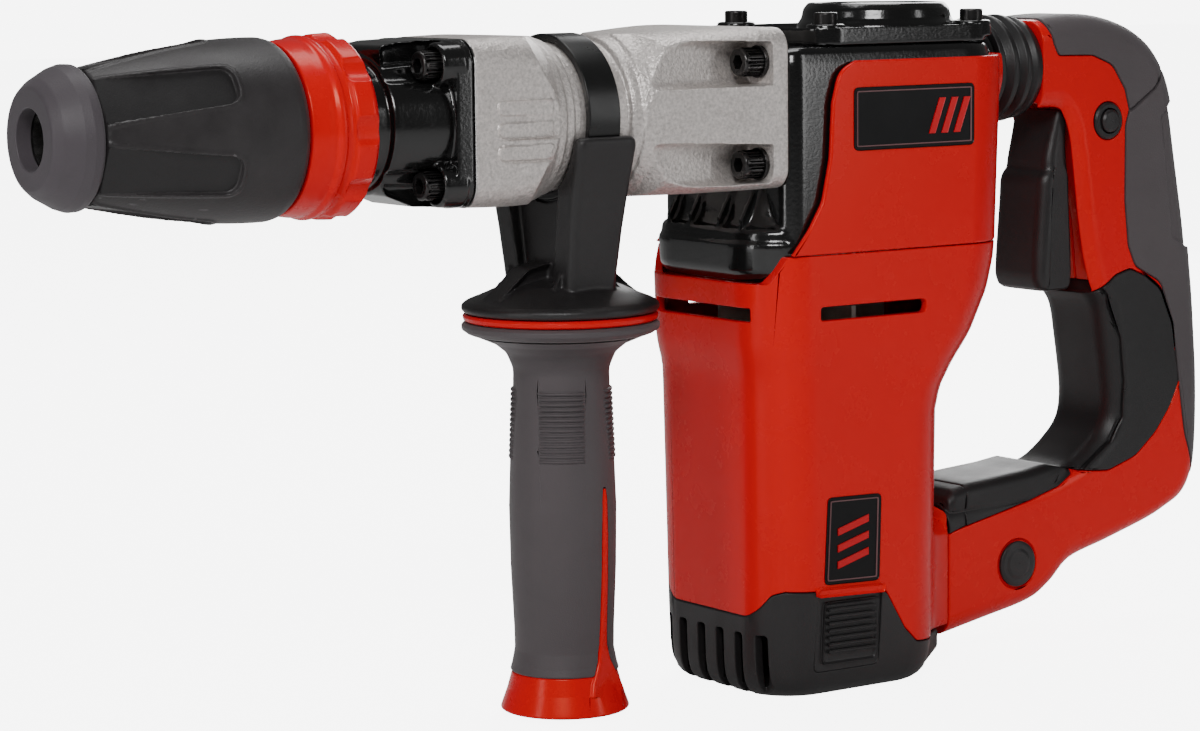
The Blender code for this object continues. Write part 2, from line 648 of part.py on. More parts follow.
def lock_sleeve():
    at = (0, 0, AXIS_Z)
    front = CAP_REAR_X + GAP
    outer = [(x, cone_radius(x)) for x in (front, -262.0, -250.0, -238.0, -226.0, -214.0)]
    outer += [(-208.5, 28.0), (-206.4, 27.4), (CONE_REAR_X, 26.2)]
    inner = [(CONE_REAR_X, 21.4), (-219.0, 21.4), (-219.0, SPINDLE_R + 0.5), (-225.6, SPINDLE_R + 0.5),
             (-244.4, 20.2), (-250.0, 20.2), (-255.0, SPINDLE_R + 0.3), (front, SPINDLE_R + 0.3)]
    cone = turned("cone_sleeve", "black_rubber", outer + inner, at, "X", FINE)
    for i in range(6):
        angle = math.radians(60 * i + 32)
        start, end = 19.6, 25.3
        pocket = loft("finger_recess", None, [
            (-272.5, rounded_rectangle(-6.2, 6.2, start, start + 12, 1.5, corner=1)),
            (-229.0, rounded_rectangle(-4.6, 4.6, end, end + 12, 1.5, corner=1)),
        ], along="X")
        pocket.rotation_euler = (angle, 0, 0)
        pocket.location = [c * MM for c in at]
        cut(cone, pocket)
    start = CONE_REAR_X + GAP
    band = turned("red_ring", "red_plastic", [
        (start, 21.4), (start, 26.9), (-198.5, 27.5), (-196.4, 27.6), (-195.0, 28.2), (-193.4, 27.9),
        (-192.4, 26.6), (-190.6, 26.6), (-189.6, 28.8), (-184.0, 28.8), (RING_REAR_X, 27.6), (RING_REAR_X, 21.4),
    ], at, "X", FINE)
    for i in range(9):
        angle = 2 * math.pi * (i + 0.5) / 9
        where = (0, 35.0 * math.cos(angle), AXIS_Z + 35.0 * math.sin(angle))
        cut(band, rod("scallop", None, -191.5, -180, 8.0, where, "X", 12))
    spring = coil("sleeve_spring", "steel", -217.5, -198.0, 18.0, 1.0, 3.5, at)
    hang("lock_sleeve", at, cone, band, spring)


# ---------------------------------------------------------------- side handle

def side_handle():
    at = (NECK_X, 0, AXIS_Z)
    band = ring("clamp_band", "dark_steel", -6.0, 6.0, NECK_R + 0.4, 26.8, at, "X", FINE, edge=0.6)
    stirrup = block("stirrup", None, (NECK_X - 5, -8, 152), (NECK_X + 5, 8, 170.2))
    window = block("window", None, (NECK_X - 9, -6.0, 155.5), (NECK_X + 9, 6.0, 167.8))
    stem_hole = rod("stem_hole", None, 145, 158, 4.4, (NECK_X, 0, 0))
    cut(join(band, stirrup), window, stem_hole)

    bracket = clamp_bracket()
    bolt = rod("clamp_bolt", "steel", 92.0, 157.0, 4.0, (NECK_X, 0, 0), steps=20, edge=0.4)
    head = rod("bolt_head", None, 155.8, 160.8, 5.2, (NECK_X, 0, 0), steps=6)
    join(bolt, head)

    core = turned("grip_core", "red_plastic", [
        (132.2, 4.4), (132.2, 31.2), (131.6, 31.8), (130.4, 31.8), (129.7, 31.2), (129.7, 11.4), (16.0, 11.4),
        (14.0, 14.0), (13.0, 17.0), (8.5, 18.9), (3.2, 20.9), (GRIP_BOTTOM + 0.4, 21.2), (GRIP_BOTTOM, 20.6),
        (GRIP_BOTTOM, 4.4)], (NECK_X, 0, 0), steps=FINE)
    rubber = turned("grip_rubber", "grey_rubber", [
        (129.4, 11.7), (129.4, 31.6), (128.6, 32.3), (127.0, 32.3), (125.6, 30.4), (123.2, 22.5), (120.0, 17.6),
        (115.0, 15.4), (101.8, 15.8), (88.6, 16.8), (68.8, 17.5), (49.0, 17.3), (28.3, 16.4), (21.7, 16.1),
        (17.0, 16.9), (13.4, 17.7), (14.4, 14.2), (16.3, 11.7)], (NECK_X, 0, 0), steps=FINE)
    hang("side_clamp", at, band, bracket)
    hang("clamp_bolt", (NECK_X, 0, 0), bolt)
    hang("side_grip", (NECK_X, 0, 0), core, rubber)


def clamp_bracket():
    """V-shaped saddle under the band, on a domed disc."""
    bottom_z, top_z = 134.4, 190.0
    sections = []
    for z, half_x, half_y in ((bottom_z, 9.0, 18.5), (160.0, 10.2, 22.5), (top_z - 2, 11.6, 29.0), (top_z, 10.4, 28.0)):
        sections.append((z, rounded_rectangle(NECK_X - half_x, NECK_X + half_x, -half_y, half_y, 2.2, corner=2)))
    saddle = loft("clamp_bracket", "black_plastic", sections)
    disc = turned("bracket_disc", None, [
        (132.5, 0), (132.5, DISC_R - 0.8), (133.3, DISC_R), (135.0, DISC_R), (136.0, DISC_R - 1.4),
        (141.5, 17.0), (142.5, 0)], (NECK_X, 0, 0), steps=FINE)
    throat_r = NECK_RING_R + 2 * GAP
    throat = turned("throat", None, [
        (-20, 0), (-20, throat_r), (-6.4, throat_r), (-6.4, 27.4), (6.4, 27.4), (6.4, throat_r), (20, throat_r),
        (20, 0)], (NECK_X, 0, AXIS_Z), "X", FINE)
    pocket = block("stirrup_pocket", None, (NECK_X - 5.4, -8.4, 151.6), (NECK_X + 5.4, 8.4, 175))
    hole = rod("bolt_hole", None, 120, 160, 4.4, (NECK_X, 0, 0))
    hole.rotation_euler.z = 0.07    # keeps its sides off the disc's edges
    cut(join(saddle, disc), throat, pocket, hole)
    for side in (-1, 1):
        low, high = sorted((NECK_X + side * 7.0, NECK_X + side * 20.0))
        web = slab("web_recess", None, [(-8.5, 143.5), (8.5, 143.5), (14.5, 175), (-14.5, 175)], low, high, "YZ")
        cut(saddle, web)
    return saddle


# ---------------------------------------------------------------- rear handle

HANDLE_LINE = [
    (86, 220.0), (106, 223.4), (120, 223.4), (136, 220), (149, 213), (156.5, 203.5), (160, 192), (163.5, 173),
    (168, 148), (171.5, 121), (173.8, 92), (173.8, 62), (171, 50.5), (164, 44.5), (153, 40.5), (110, 28),
    (102, 20.5), (92, 15.5), (FOOT_X, 8.0), (42, 6.0), (42, 52.0), (62, 56.5), (92, 58.5), (112, 63), (121.5, 70),
    (127.5, 77), (129.5, 85), (128.5, 96), (126.5, 108), (124.0, 121), (118.5, 126), (114.5, 140), (111, 165),
    (108, 182), (106, 190), (86, 190),
]
SOFT_LINE = [
    (96, 230), (180, 230), (180, 50), (172.5, 50), (165, 70), (161.5, 90), (158, 112), (152, 126), (139, 134),
    (136.5, 139), (134.2, 157), (134.2, 188), (132, 196), (127, 203), (120, 208), (103, 209.5),
]
LOWER_LINE = [
    (100, 124.5), (113, 122.5), (123, 125), (130, 131), (136.5, 133.5), (143.5, 130.4), (151.5, 125.2),
    (157.6, 111.7), (161.1, 89.7), (157, 82), (150, 73), (140, 65), (127, 61.5), (114, 62.0), (100, 67.0),
]
PAD_LINE = [(FOOT_X - 5, 75), (FOOT_X - 5, 46), (58, 46.5), (90, 53.0), (103, 56.0), (107.5, 59.5), (104.5, 75)]
CORE_LINE = [
    (97, 194), (97, 204), (122, 204), (136, 203), (150, 196), (154, 186), (158, 165), (162, 140), (165, 118),
    (167, 90), (166, 50), (130, 40), (130, 60), (134, 74), (136, 86), (135, 98), (132, 118), (127, 130),
    (124, 145), (122, 165), (118, 186), (112, 194),
]


def handle_blank(name, kind, edge):
    """The whole handle's outline with rounded edges, cut square at its two front ends."""
    blank = slab(name, kind, HANDLE_LINE, -HANDLE_HALF, HANDLE_HALF)
    rounded(blank, edge, 2, 60)
    foot_end = block("foot_end", None, (30, -30, -10), (FOOT_X, 30, 75))
    top_end = block("top_end", None, (70, -30, 170), (94.5, 30, 240))
    return cut(blank, foot_end, top_end)


def half_shell(name, side):
    """One red moulded half of the D-handle, cut back where the soft pieces wrap round it."""
    shell = handle_blank(name, "red_plastic", 5.5)
    low, high = sorted((side * -30, side * 0.2))
    cut(shell, block("other_half", None, (30, low, -20), (200, high, 250)))
    low, high = sorted((side * -1.0, side * 30))
    for label, line in (("soft", SOFT_LINE), ("lower", LOWER_LINE), ("pad", PAD_LINE)):
        room = slab(label + "_room", None, grown(line, GAP), low, high)
        core = slab(label + "_core", None, CORE_LINE, -10.5, 10.5)
        cut(shell, cut(room, core))
    trigger_room = slab("trigger_room", None, [(90, 191.5), (113, 191.5), (124, 150), (128, 124), (90, 122)], -13.3, 13.3)
    switch_room = block("switch_room", None, (126.6, -9.4, 141.6), (144.4, 9.4, 174.4))
    tongue_room = slab("tongue_room", None, [(40, 18), (PIVOT[0], 18), (95, 22), (95, 40), (PIVOT[0], 44), (40, 47)],
                       -7.5, 7.5)
    spring_room = rod("spring_room", None, 90, 97.2, 11.0, (0, 0, 205.5), "X")
    hole = rod("pin_hole", None, -30, 30, 4.3, (PIVOT[0], 0, PIVOT[1]), "Y")
    cut(shell, trigger_room, switch_room, tongue_room, spring_room, hole)
    if side < 0:
        cut(shell, rod("button_hole", None, -25, -2.5, 4.5, (LOCK[0], 0, LOCK[1]), "Y"))
    return shell


def grown(line, amount):
    """Move an anticlockwise or clockwise outline outwards by amount."""
    count = len(line)
    area = sum(line[i][0] * line[(i + 1) % count][1] - line[(i + 1) % count][0] * line[i][1] for i in range(count))
    turn = 1 if area > 0 else -1
    result = []
    for i, (x, z) in enumerate(line):
        ax, az = line[i - 1]
        bx, bz = line[(i + 1) % count]
        ux, uz = unit(x - ax, z - az)
        vx, vz = unit(bx - x, bz - z)
        nx, nz = unit((uz + vz) * turn, -(ux + vx) * turn)
        scale = amount / max(0.4, nx * uz * turn - nz * ux * turn)
        result.append((x + nx * scale, z + nz * scale))
    return result


def unit(x, z):
    size = math.hypot(x, z) or 1.0
    return x / size, z / size


def soft_piece(name, kind, line):
    """The part of the handle's outline inside line, wrapped round the red core."""
    piece = handle_blank(name, kind, 6.5)
    combine(piece, slab(name + "_area", None, line, -30, 30), "INTERSECT")
    spring_room = rod("spring_room", None, 90, 97.2, 11.0, (0, 0, 205.5), "X")
    return cut(piece, slab(name + "_core", None, grown(CORE_LINE, GAP), -10.9, 10.9), spring_room)


def rear_handle():
    left = half_shell("handle_left", -1)
    right = half_shell("handle_right", 1)
    soft = soft_piece("soft_grip", "grey_rubber", SOFT_LINE)
    lower = soft_piece("lower_grip", "black_rubber", LOWER_LINE)
    pad = soft_piece("bridge_pad", "black_rubber", PAD_LINE)
    pin = turned("pivot_pin", "black_plastic", [
        (-19.2, 0), (-19.2, 7.2), (-18.4, 8.1), (-17.4, 8.1), (-17.4, 3.9), (17.4, 3.9), (17.4, 8.1), (18.4, 8.1),
        (19.2, 7.2), (19.2, 0)], (PIVOT[0], 0, PIVOT[1]), "Y")
    switch = block("switch_body", "black_plastic", (127, -9, 142), (144, 9, 174), 0.8, 1)
    trigger = slab("trigger", "black_plastic", [
        (106, 190.6), (103.5, 183), (101.5, 175), (98.5, 166.5), (96.6, 160), (95, 146), (94.3, 134), (95.4, 128.5),
        (99, 126), (112, 126), (114, 133), (113.6, 150), (112.5, 170), (111, 190.6)], -13.0, 13.0, bevel=2.2)
    button = turned("lock_button", "black_plastic", [
        (-18.9, 0), (-18.9, 3.2), (-18.0, 4.1), (-8.0, 4.1), (-8.0, 0)], (LOCK[0], 0, LOCK[1]), "Y")
    coil("handle_spring", "steel", 69.0, 95.5, 9.0, 1.2, 4.5, (0, 0, 205.5))
    ribs = [(74.6, 18.6), (78.4, 16.0), (81.4, 18.8), (84.4, 16.0), (87.4, 18.8), (90.6, 16.4), (93.8, 16.8),
            (93.8, 14.4), (84.4, 13.2), (74.6, 15.4)]
    bellows = turned("bellows", "black_rubber", ribs, (0, 0, 205.5), "X", FINE)
    pieces = (left, right, soft, lower, pad, pin, switch, bellows)
    hang("rear_handle", (PIVOT[0], 0, PIVOT[1]), *pieces)
    hang("trigger", (TRIGGER_PIVOT[0], 0, TRIGGER_PIVOT[1]), trigger)
    hang("lock_button", (LOCK[0], 0, LOCK[1]), button)


motor_housing()
base_cap()
upper_cover()
crankcase()
top_cap()
barrel_housing()
front_flange()
bolts()
motor()
crank_drive()
piston_and_rod()
striker_train()
tool_holder()
lock_sleeve()
side_handle()
rear_handle()
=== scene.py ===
"""A demolition hammer's visible pieces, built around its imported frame."""

import math

import bmesh
import bpy
import numpy as np
from mathutils import Matrix, Vector
from mathutils.bvhtree import BVHTree


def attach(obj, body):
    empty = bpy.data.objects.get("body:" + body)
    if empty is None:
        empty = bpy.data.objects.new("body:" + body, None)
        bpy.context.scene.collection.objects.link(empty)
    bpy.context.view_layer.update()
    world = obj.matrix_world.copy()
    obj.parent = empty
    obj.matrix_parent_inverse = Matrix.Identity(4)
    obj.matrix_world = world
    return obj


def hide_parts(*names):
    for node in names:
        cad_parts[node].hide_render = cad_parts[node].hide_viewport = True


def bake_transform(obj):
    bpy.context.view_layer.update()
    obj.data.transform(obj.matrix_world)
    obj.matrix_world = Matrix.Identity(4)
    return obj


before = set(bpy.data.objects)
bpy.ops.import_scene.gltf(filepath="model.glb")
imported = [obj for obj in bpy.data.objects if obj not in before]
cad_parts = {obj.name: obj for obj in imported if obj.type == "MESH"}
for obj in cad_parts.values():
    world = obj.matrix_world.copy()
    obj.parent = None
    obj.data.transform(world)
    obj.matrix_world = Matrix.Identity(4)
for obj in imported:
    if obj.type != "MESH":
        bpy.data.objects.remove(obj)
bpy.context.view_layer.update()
MM = 0.001

# Sizes in millimetres, in the frame of the CAD model.
AXIS_Z = 195.5          # barrel axis
NECK_X = -99.0          # side handle and clamp band
CRANK_X = 33.0
SEAM_Z = 148.2
COLLAR_Z = 139.3
HALF_WIDTH = 38.6
FOOT_X = 52.0
PIVOT = (83.5, 31.0)
LOCK = (125.5, 186.0)
HANDLE_HALF = 17.0
GAP = 0.3
BARREL = (0.0, AXIS_Z)
BELLOWS = (0.0, 205.5)
FLANGE_BOLTS = [(y, AXIS_Z + z) for y in (-18.8, 18.8) for z in (-18.6, 18.6)]
LID_SCREWS = ((-8.5, -24.5), (-8.5, 24.5), (54.4, -24.8), (54.4, 24.8))

FARTHEST_THROW = 0.75   # share of a bevel's width past which its point is put back on the surface
FLAT_ANGLE = 0.4        # degrees between faces that count as one
SHARP_ANGLE = 35


# ---------------------------------------------------------------- materials

GRAIN_DEPTH = 0.0004
CELL_DEPTH = 0.001
COAT_ROUGHNESS = 0.12


def node(tree, kind, **values):
    made = tree.nodes.new(kind)
    for key, value in values.items():
        if key in made.inputs:
            made.inputs[key].default_value = value
        else:
            setattr(made, key.lower(), value)
    return made


def noise(tree, coordinates, scale, detail=3.0, rough=0.55, stretch=None):
    texture = node(tree, "ShaderNodeTexNoise", Scale=scale, Detail=detail, Roughness=rough)
    if stretch:
        mapping = node(tree, "ShaderNodeMapping", Scale=stretch)
        tree.links.new(coordinates, mapping.inputs["Vector"])
        coordinates = mapping.outputs["Vector"]
    tree.links.new(coordinates, texture.inputs["Vector"])
    return texture.outputs["Fac"]


def ramp(tree, value, low, high, start=0.3, end=0.7):
    made = tree.nodes.new("ShaderNodeMapRange")
    for key, number in (("From Min", start), ("From Max", end), ("To Min", low), ("To Max", high)):
        made.inputs[key].default_value = number
    tree.links.new(value, made.inputs["Value"])
    return made.outputs["Result"]


def surface(name, colour, roughness, metallic=0.0, vary=0.12, grain=900.0, bump=0.1, fine=0.0, tint=None,
            coat=0.0, spread=0.06, wear=0.0, wear_colour=(0.4, 0.4, 0.4), stretch=None, sheen=0.0, mottle=14.0,
            shine=0.5):
    """A moulded, cast or turned surface: mottled colour, uneven gloss, grain and rubbed edges."""
    mat = bpy.data.materials.new(name)
    mat.use_nodes = True
    tree = mat.node_tree
    shader = tree.nodes["Principled BSDF"]
    place = tree.nodes.new("ShaderNodeTexCoord").outputs["Object"]
    blotch = noise(tree, place, mottle, 4.0, 0.6)
    mix = node(tree, "ShaderNodeMix", data_type="RGBA")
    mix.inputs["A"].default_value = (*[c * (1 - vary) for c in colour], 1)
    mix.inputs["B"].default_value = (*[min(1.0, c * (1 + vary)) for c in colour], 1)
    tree.links.new(ramp(tree, blotch, 0, 1), mix.inputs["Factor"])
    shade = mix.outputs["Result"]
    if wear:
        geometry = tree.nodes.new("ShaderNodeNewGeometry")
        edge = ramp(tree, geometry.outputs["Pointiness"], 0, 1, 0.53, 0.6)
        patch = ramp(tree, noise(tree, place, 160.0, 4.0), 0, wear, 0.42, 0.62)
        both = node(tree, "ShaderNodeMath", operation="MULTIPLY")
        tree.links.new(edge, both.inputs[0])
        tree.links.new(patch, both.inputs[1])
        rubbed = node(tree, "ShaderNodeMix", data_type="RGBA")
        rubbed.inputs["B"].default_value = (*wear_colour, 1)
        tree.links.new(both.outputs[0], rubbed.inputs["Factor"])
        tree.links.new(shade, rubbed.inputs["A"])
        shade = rubbed.outputs["Result"]
    tree.links.new(shade, shader.inputs["Base Color"])
    gloss = noise(tree, place, 60.0, 5.0, 0.65, stretch)
    tree.links.new(ramp(tree, gloss, roughness - spread, roughness + spread), shader.inputs["Roughness"])
    shader.inputs["Metallic"].default_value = metallic
    shader.inputs["Coat Weight"].default_value = coat
    shader.inputs["Coat Roughness"].default_value = COAT_ROUGHNESS
    shader.inputs["Sheen Weight"].default_value = sheen
    shader.inputs["Specular IOR Level"].default_value = shine
    if tint:
        shader.inputs["Specular Tint"].default_value = (*tint, 1)
    relief = node(tree, "ShaderNodeBump", Strength=bump, Distance=GRAIN_DEPTH)
    tree.links.new(noise(tree, place, grain, 2.0, 0.5, stretch), relief.inputs["Height"])
    normal = relief.outputs["Normal"]
    if fine:
        second = node(tree, "ShaderNodeBump", Strength=fine, Distance=CELL_DEPTH)
        cells = node(tree, "ShaderNodeTexVoronoi", Scale=grain * 0.45)
        tree.links.new(place, cells.inputs["Vector"])
        tree.links.new(cells.outputs["Distance"], second.inputs["Height"])
        tree.links.new(normal, second.inputs["Normal"])
        normal = second.outputs["Normal"]
    tree.links.new(normal, shader.inputs["Normal"])
    return mat


RED = surface("red_plastic", (0.74, 0.0025, 0.0085), 0.27, vary=0.05, grain=3200, bump=0.03, tint=(1.0, 0.30, 0.12),
              coat=0.12, spread=0.02, mottle=7.0, shine=0.45)
BLACK_GLOSS = surface("gloss_black_casting", (0.006, 0.006, 0.006), 0.16, vary=0.3, grain=900, bump=0.12, coat=0.4,
                      spread=0.04, wear=0.25, wear_colour=(0.12, 0.115, 0.11))
SILVER = surface("cast_aluminium", (0.66, 0.615, 0.59), 0.42, metallic=0.6, vary=0.24, grain=1500, bump=0.5, fine=0.16,
                 spread=0.07, wear=0.4, wear_colour=(0.9, 0.88, 0.86), mottle=1000.0)
RUBBER_DARK = surface("sleeve_rubber", (0.024, 0.021, 0.022), 0.46, vary=0.25, grain=1900, bump=0.16, fine=0.03,
                      spread=0.06, sheen=0.05, shine=0.45, wear=0.8, wear_colour=(0.12, 0.112, 0.116), mottle=60.0)
RUBBER_GREY = surface("grey_soft_grip", (0.078, 0.066, 0.070), 0.55, vary=0.10, grain=2200, bump=0.2, spread=0.06,
                      sheen=0.12, shine=0.4)
RUBBER_CAP = surface("nose_cap_rubber", (0.068, 0.058, 0.066), 0.50, vary=0.10, grain=2000, bump=0.14, spread=0.06,
                     sheen=0.1, shine=0.4)
PLASTIC_BLACK = surface("textured_black_plastic", (0.017, 0.0155, 0.016), 0.40, vary=0.15, grain=2200, bump=0.2,
                        spread=0.06, shine=0.45)
GRIP_BLACK = surface("black_grip", (0.012, 0.011, 0.0115), 0.42, vary=0.2, grain=2000, bump=0.18, spread=0.06,
                     shine=0.45)
STRAP = surface("strap_steel", (0.010, 0.010, 0.010), 0.30, metallic=0.2, vary=0.2, grain=700, bump=0.06, spread=0.05)
BOLT = surface("blackened_bolt", (0.040, 0.038, 0.038), 0.28, metallic=0.85, vary=0.3, grain=900, bump=0.15, spread=0.1,
               wear=0.6, wear_colour=(0.5, 0.48, 0.46))
STEEL = surface("ground_steel", (0.60, 0.59, 0.58), 0.26, metallic=1.0, vary=0.08, grain=500, bump=0.12, spread=0.06,
                stretch=(0.15, 1, 1))
LABEL = surface("label_film", (0.004, 0.004, 0.0045), 0.38, vary=0.2, grain=1500, bump=0.03, shine=0.2)
LABEL_LINE = surface("label_frame", (0.18, 0.08, 0.085), 0.4, vary=0.2, grain=900, bump=0.05)
LABEL_RED = surface("label_accent", (0.62, 0.003, 0.010), 0.4, vary=0.1, grain=900, bump=0.04, shine=0.3)
COPPER = surface("winding_copper", (0.60, 0.24, 0.11), 0.35, metallic=0.9, vary=0.2, grain=600, bump=0.5,
                 stretch=(1, 1, 0.2))
BRASS = surface("stamped_brass", (0.70, 0.50, 0.20), 0.35, metallic=1.0, vary=0.1, grain=600, bump=0.1)
NYLON = surface("fan_nylon", (0.6, 0.58, 0.52), 0.5, vary=0.06, grain=900, bump=0.1)
CARBON = surface("brush_carbon", (0.03, 0.03, 0.03), 0.7, vary=0.3, grain=900, bump=0.3)


# ---------------------------------------------------------------- outlines

def soften(points, radius=1.0, steps=5, closed=True):
    """Round the corners of an outline. A point may carry its own radius as a third number."""
    result, count = [], len(points)
    for i, point in enumerate(points):
        here = Vector(point[:2])
        r = point[2] if len(point) > 2 else radius
        before, after = Vector(points[i - 1][:2]) - here, Vector(points[(i + 1) % count][:2]) - here
        if r == 0 or (not closed and i in (0, count - 1)) or before.length < 1e-6 or after.length < 1e-6:
            result.append(tuple(here))
            continue
        corner = before.angle(after)
        if corner > math.pi - 0.03:
            result.append(tuple(here))
            continue
        reach = min(r / math.tan(corner / 2), 0.48 * before.length, 0.48 * after.length)
        start, end = here + before.normalized() * reach, here + after.normalized() * reach
        for k in range(steps + 1):
            s = k / steps
            result.append(tuple(start * (1 - s) ** 2 + here * 2 * s * (1 - s) + end * s * s))
    return result


def area(line):
    return sum(p[0] * q[1] - q[0] * p[1] for p, q in zip(line, line[1:] + line[:1]))


def grown(line, amount):
    """The outline moved outwards by amount, or inwards when amount is negative."""
    turn = 1 if area(line) > 0 else -1
    result = []
    for i, (x, z) in enumerate(line):
        u = Vector((x - line[i - 1][0], z - line[i - 1][1]))
        following = line[(i + 1) % len(line)]
        v = Vector((following[0] - x, following[1] - z))
        u = u.normalized() if u.length else v.normalized()
        v = v.normalized() if v.length else u
        normal = Vector((u.y + v.y, -u.x - v.x)) * turn
        normal = normal.normalized() if normal.length > 1e-9 else Vector((u.y, -u.x)) * turn
        share = max(0.45, normal.dot(Vector((u.y, -u.x)) * turn))
        result.append((x + normal.x * amount / share, z + normal.y * amount / share))
    return result


def rounded_rectangle(u0, u1, v0, v1, radii, corner=10, side=1):
    """Points round a rectangle; radii is one value or one for each corner from (u1, v1) anticlockwise."""
    radii = radii if isinstance(radii, (list, tuple)) else [radii] * 4
    corners = [(u1, v1, 0), (u0, v1, 90), (u0, v0, 180), (u1, v0, 270)]
    points = []
    for (u, v, turn), r in zip(corners, radii):
        cu = u - math.copysign(r, u - (u0 + u1) / 2)
        cv = v - math.copysign(r, v - (v0 + v1) / 2)
        for i in range(corner + 1):
            angle = math.radians(turn + 90 * i / corner)
            points.append((cu + r * math.cos(angle), cv + r * math.sin(angle)))
    if side == 1:
        return points
    dense = []
    for i, p in enumerate(points):
        q = points[(i + 1) % len(points)]
        dense.append(p)
        if i % (corner + 1) == corner:
            dense += [(p[0] + (q[0] - p[0]) * k / side, p[1] + (q[1] - p[1]) * k / side) for k in range(1, side)]
    return dense


# ---------------------------------------------------------------- solids

def solid(name, points, faces, smooth=40):
    """A closed mesh from points in millimetres, welded, with its faces out."""
    mesh = bpy.data.meshes.new(name)
    mesh.from_pydata([[c * MM for c in p] for p in points], [], faces)
    bm = bmesh.new()
    bm.from_mesh(mesh)
    bmesh.ops.remove_doubles(bm, verts=bm.verts, dist=2e-7)
    bmesh.ops.recalc_face_normals(bm, faces=bm.faces)
    bm.to_mesh(mesh)
    bm.free()
    mesh.shade_smooth()
    mesh.set_sharp_from_angle(angle=math.radians(smooth))
    obj = bpy.data.objects.new(name, mesh)
    bpy.context.scene.collection.objects.link(obj)
    return obj


def turned(name, profile, axis="X", centre=BARREL, steps=96, fillet=0.0, arc=4):
    """Turn an outline of (along, radius) points about an axis. centre is the axis's other two coordinates."""
    line = soften(profile, fillet, arc) if fillet else [p[:2] for p in profile]
    put = {
        "X": lambda a, r, c, s: (a, centre[0] + r * c, centre[1] + r * s),
        "Y": lambda a, r, c, s: (centre[0] + r * c, a, centre[1] + r * s),
        "Z": lambda a, r, c, s: (centre[0] + r * c, centre[1] + r * s, a),
    }[axis]
    points, faces, count = [], [], len(line)
    for k in range(steps):
        angle = 2 * math.pi * k / steps
        points += [put(a, max(0.0, r), math.cos(angle), math.sin(angle)) for a, r in line]
    for k in range(steps):
        m = (k + 1) % steps
        for i in range(count):
            j = (i + 1) % count
            if line[i][1] <= 1e-9 and line[j][1] <= 1e-9:
                continue
            faces.append((k * count + i, k * count + j, m * count + j, m * count + i))
    return solid(name, points, faces)


def loft(name, sections, along="Z"):
    """Skin a list of (level, outline) sections that share one point count, with flat ends."""
    put = {"Z": lambda u, v, w: (u, v, w), "X": lambda u, v, w: (w, u, v), "Y": lambda u, v, w: (u, w, v)}[along]
    points, faces, count = [], [], len(sections[0][1])
    for level, outline in sections:
        points += [put(u, v, level) for u, v in outline]
    for s in range(len(sections) - 1):
        for i in range(count):
            j = (i + 1) % count
            faces.append((s * count + i, s * count + j, (s + 1) * count + j, (s + 1) * count + i))
    faces.append(tuple(range(count)))
    faces.append(tuple((len(sections) - 1) * count + i for i in range(count)))
    return solid(name, points, faces)


def slab(name, outline, low, high, along="Y", edge=0.0, rings=6):
    """A flat outline given thickness, with rounded rims of radius edge."""
    line = [p[:2] for p in outline]
    sections = []
    levels = [i / rings for i in range(rings + 1)] if edge else [1.0]
    for t in levels:
        angle = t * math.pi / 2
        sections.append((low + edge * (1 - math.sin(angle)), grown(line, -edge * (1 - math.cos(math.pi / 2 - angle))
                         if edge else 0)))
    back = [(low + high - level, points) for level, points in reversed(sections)]
    return loft(name, sections + back, along)


def rows_between(rows, steps):
    """More rows between the given ones, on a smooth curve through them."""
    table = np.array(rows, float)
    made = []
    for i in range(len(table) - 1):
        p0, p1, p2, p3 = table[max(0, i - 1)], table[i], table[i + 1], table[min(len(table) - 1, i + 2)]
        for k in range(steps):
            t = k / steps
            curve = 0.5 * (2 * p1 + (p2 - p0) * t + (2 * p0 - 5 * p1 + 4 * p2 - p3) * t * t
                           + (3 * p1 - p0 - 3 * p2 + p3) * t ** 3)
            curve[0] = p1[0] + (p2[0] - p1[0]) * t
            made.append(tuple(curve))
    return made + [tuple(table[-1])]


def block(name, low, high, edge=0.0):
    outline = rounded_rectangle(low[0], high[0], low[1], high[1], max(edge, 0.01), 5 if edge else 1)
    return slab(name, outline, low[2], high[2], "Z", edge * 0.9, 4)


def drill(start, end, radius, axis="X", centre=BARREL, steps=96):
    """A plain round tool that a hole is cut with."""
    return turned("drill", [(start, 0), (start, radius), (end, radius), (end, 0)], axis, centre, steps)


def span(side, near, far):
    """The lower and the upper Y of what lies between two distances out on one side."""
    return sorted((side * near, side * far))


def applied(obj):
    """Write the object's modifiers into its mesh."""
    bpy.context.view_layer.update()
    mesh = bpy.data.meshes.new_from_object(obj.evaluated_get(bpy.context.evaluated_depsgraph_get()))
    obj.modifiers.clear()
    old, obj.data = obj.data, mesh
    bpy.data.meshes.remove(old)
    return obj


def boolean(target, tool, operation):
    """Apply a Boolean at once and drop the tool."""
    modifier = target.modifiers.new("cut", "BOOLEAN")
    modifier.operation = operation
    modifier.solver = "MANIFOLD"
    modifier.object = tool
    applied(target)
    bpy.data.objects.remove(tool, do_unlink=True)
    return target


def cut(target, *tools):
    for tool in tools:
        boolean(target, tool, "DIFFERENCE")
    return target


def join(target, *tools):
    for tool in tools:
        boolean(target, tool, "UNION")
    return target


def meet(target, tool):
    return boolean(target, tool, "INTERSECT")


def twin(obj):
    made = obj.copy()
    made.data = obj.data.copy()
    bpy.context.scene.collection.objects.link(made)
    return made


def turn_about(obj, angle, centre, axis="X"):
    """Turn a mesh about an axis through centre, in its own vertices."""
    there = Matrix.Translation(Vector(centre) * MM)
    obj.data.transform(there @ Matrix.Rotation(angle, 4, axis) @ there.inverted())
    return obj


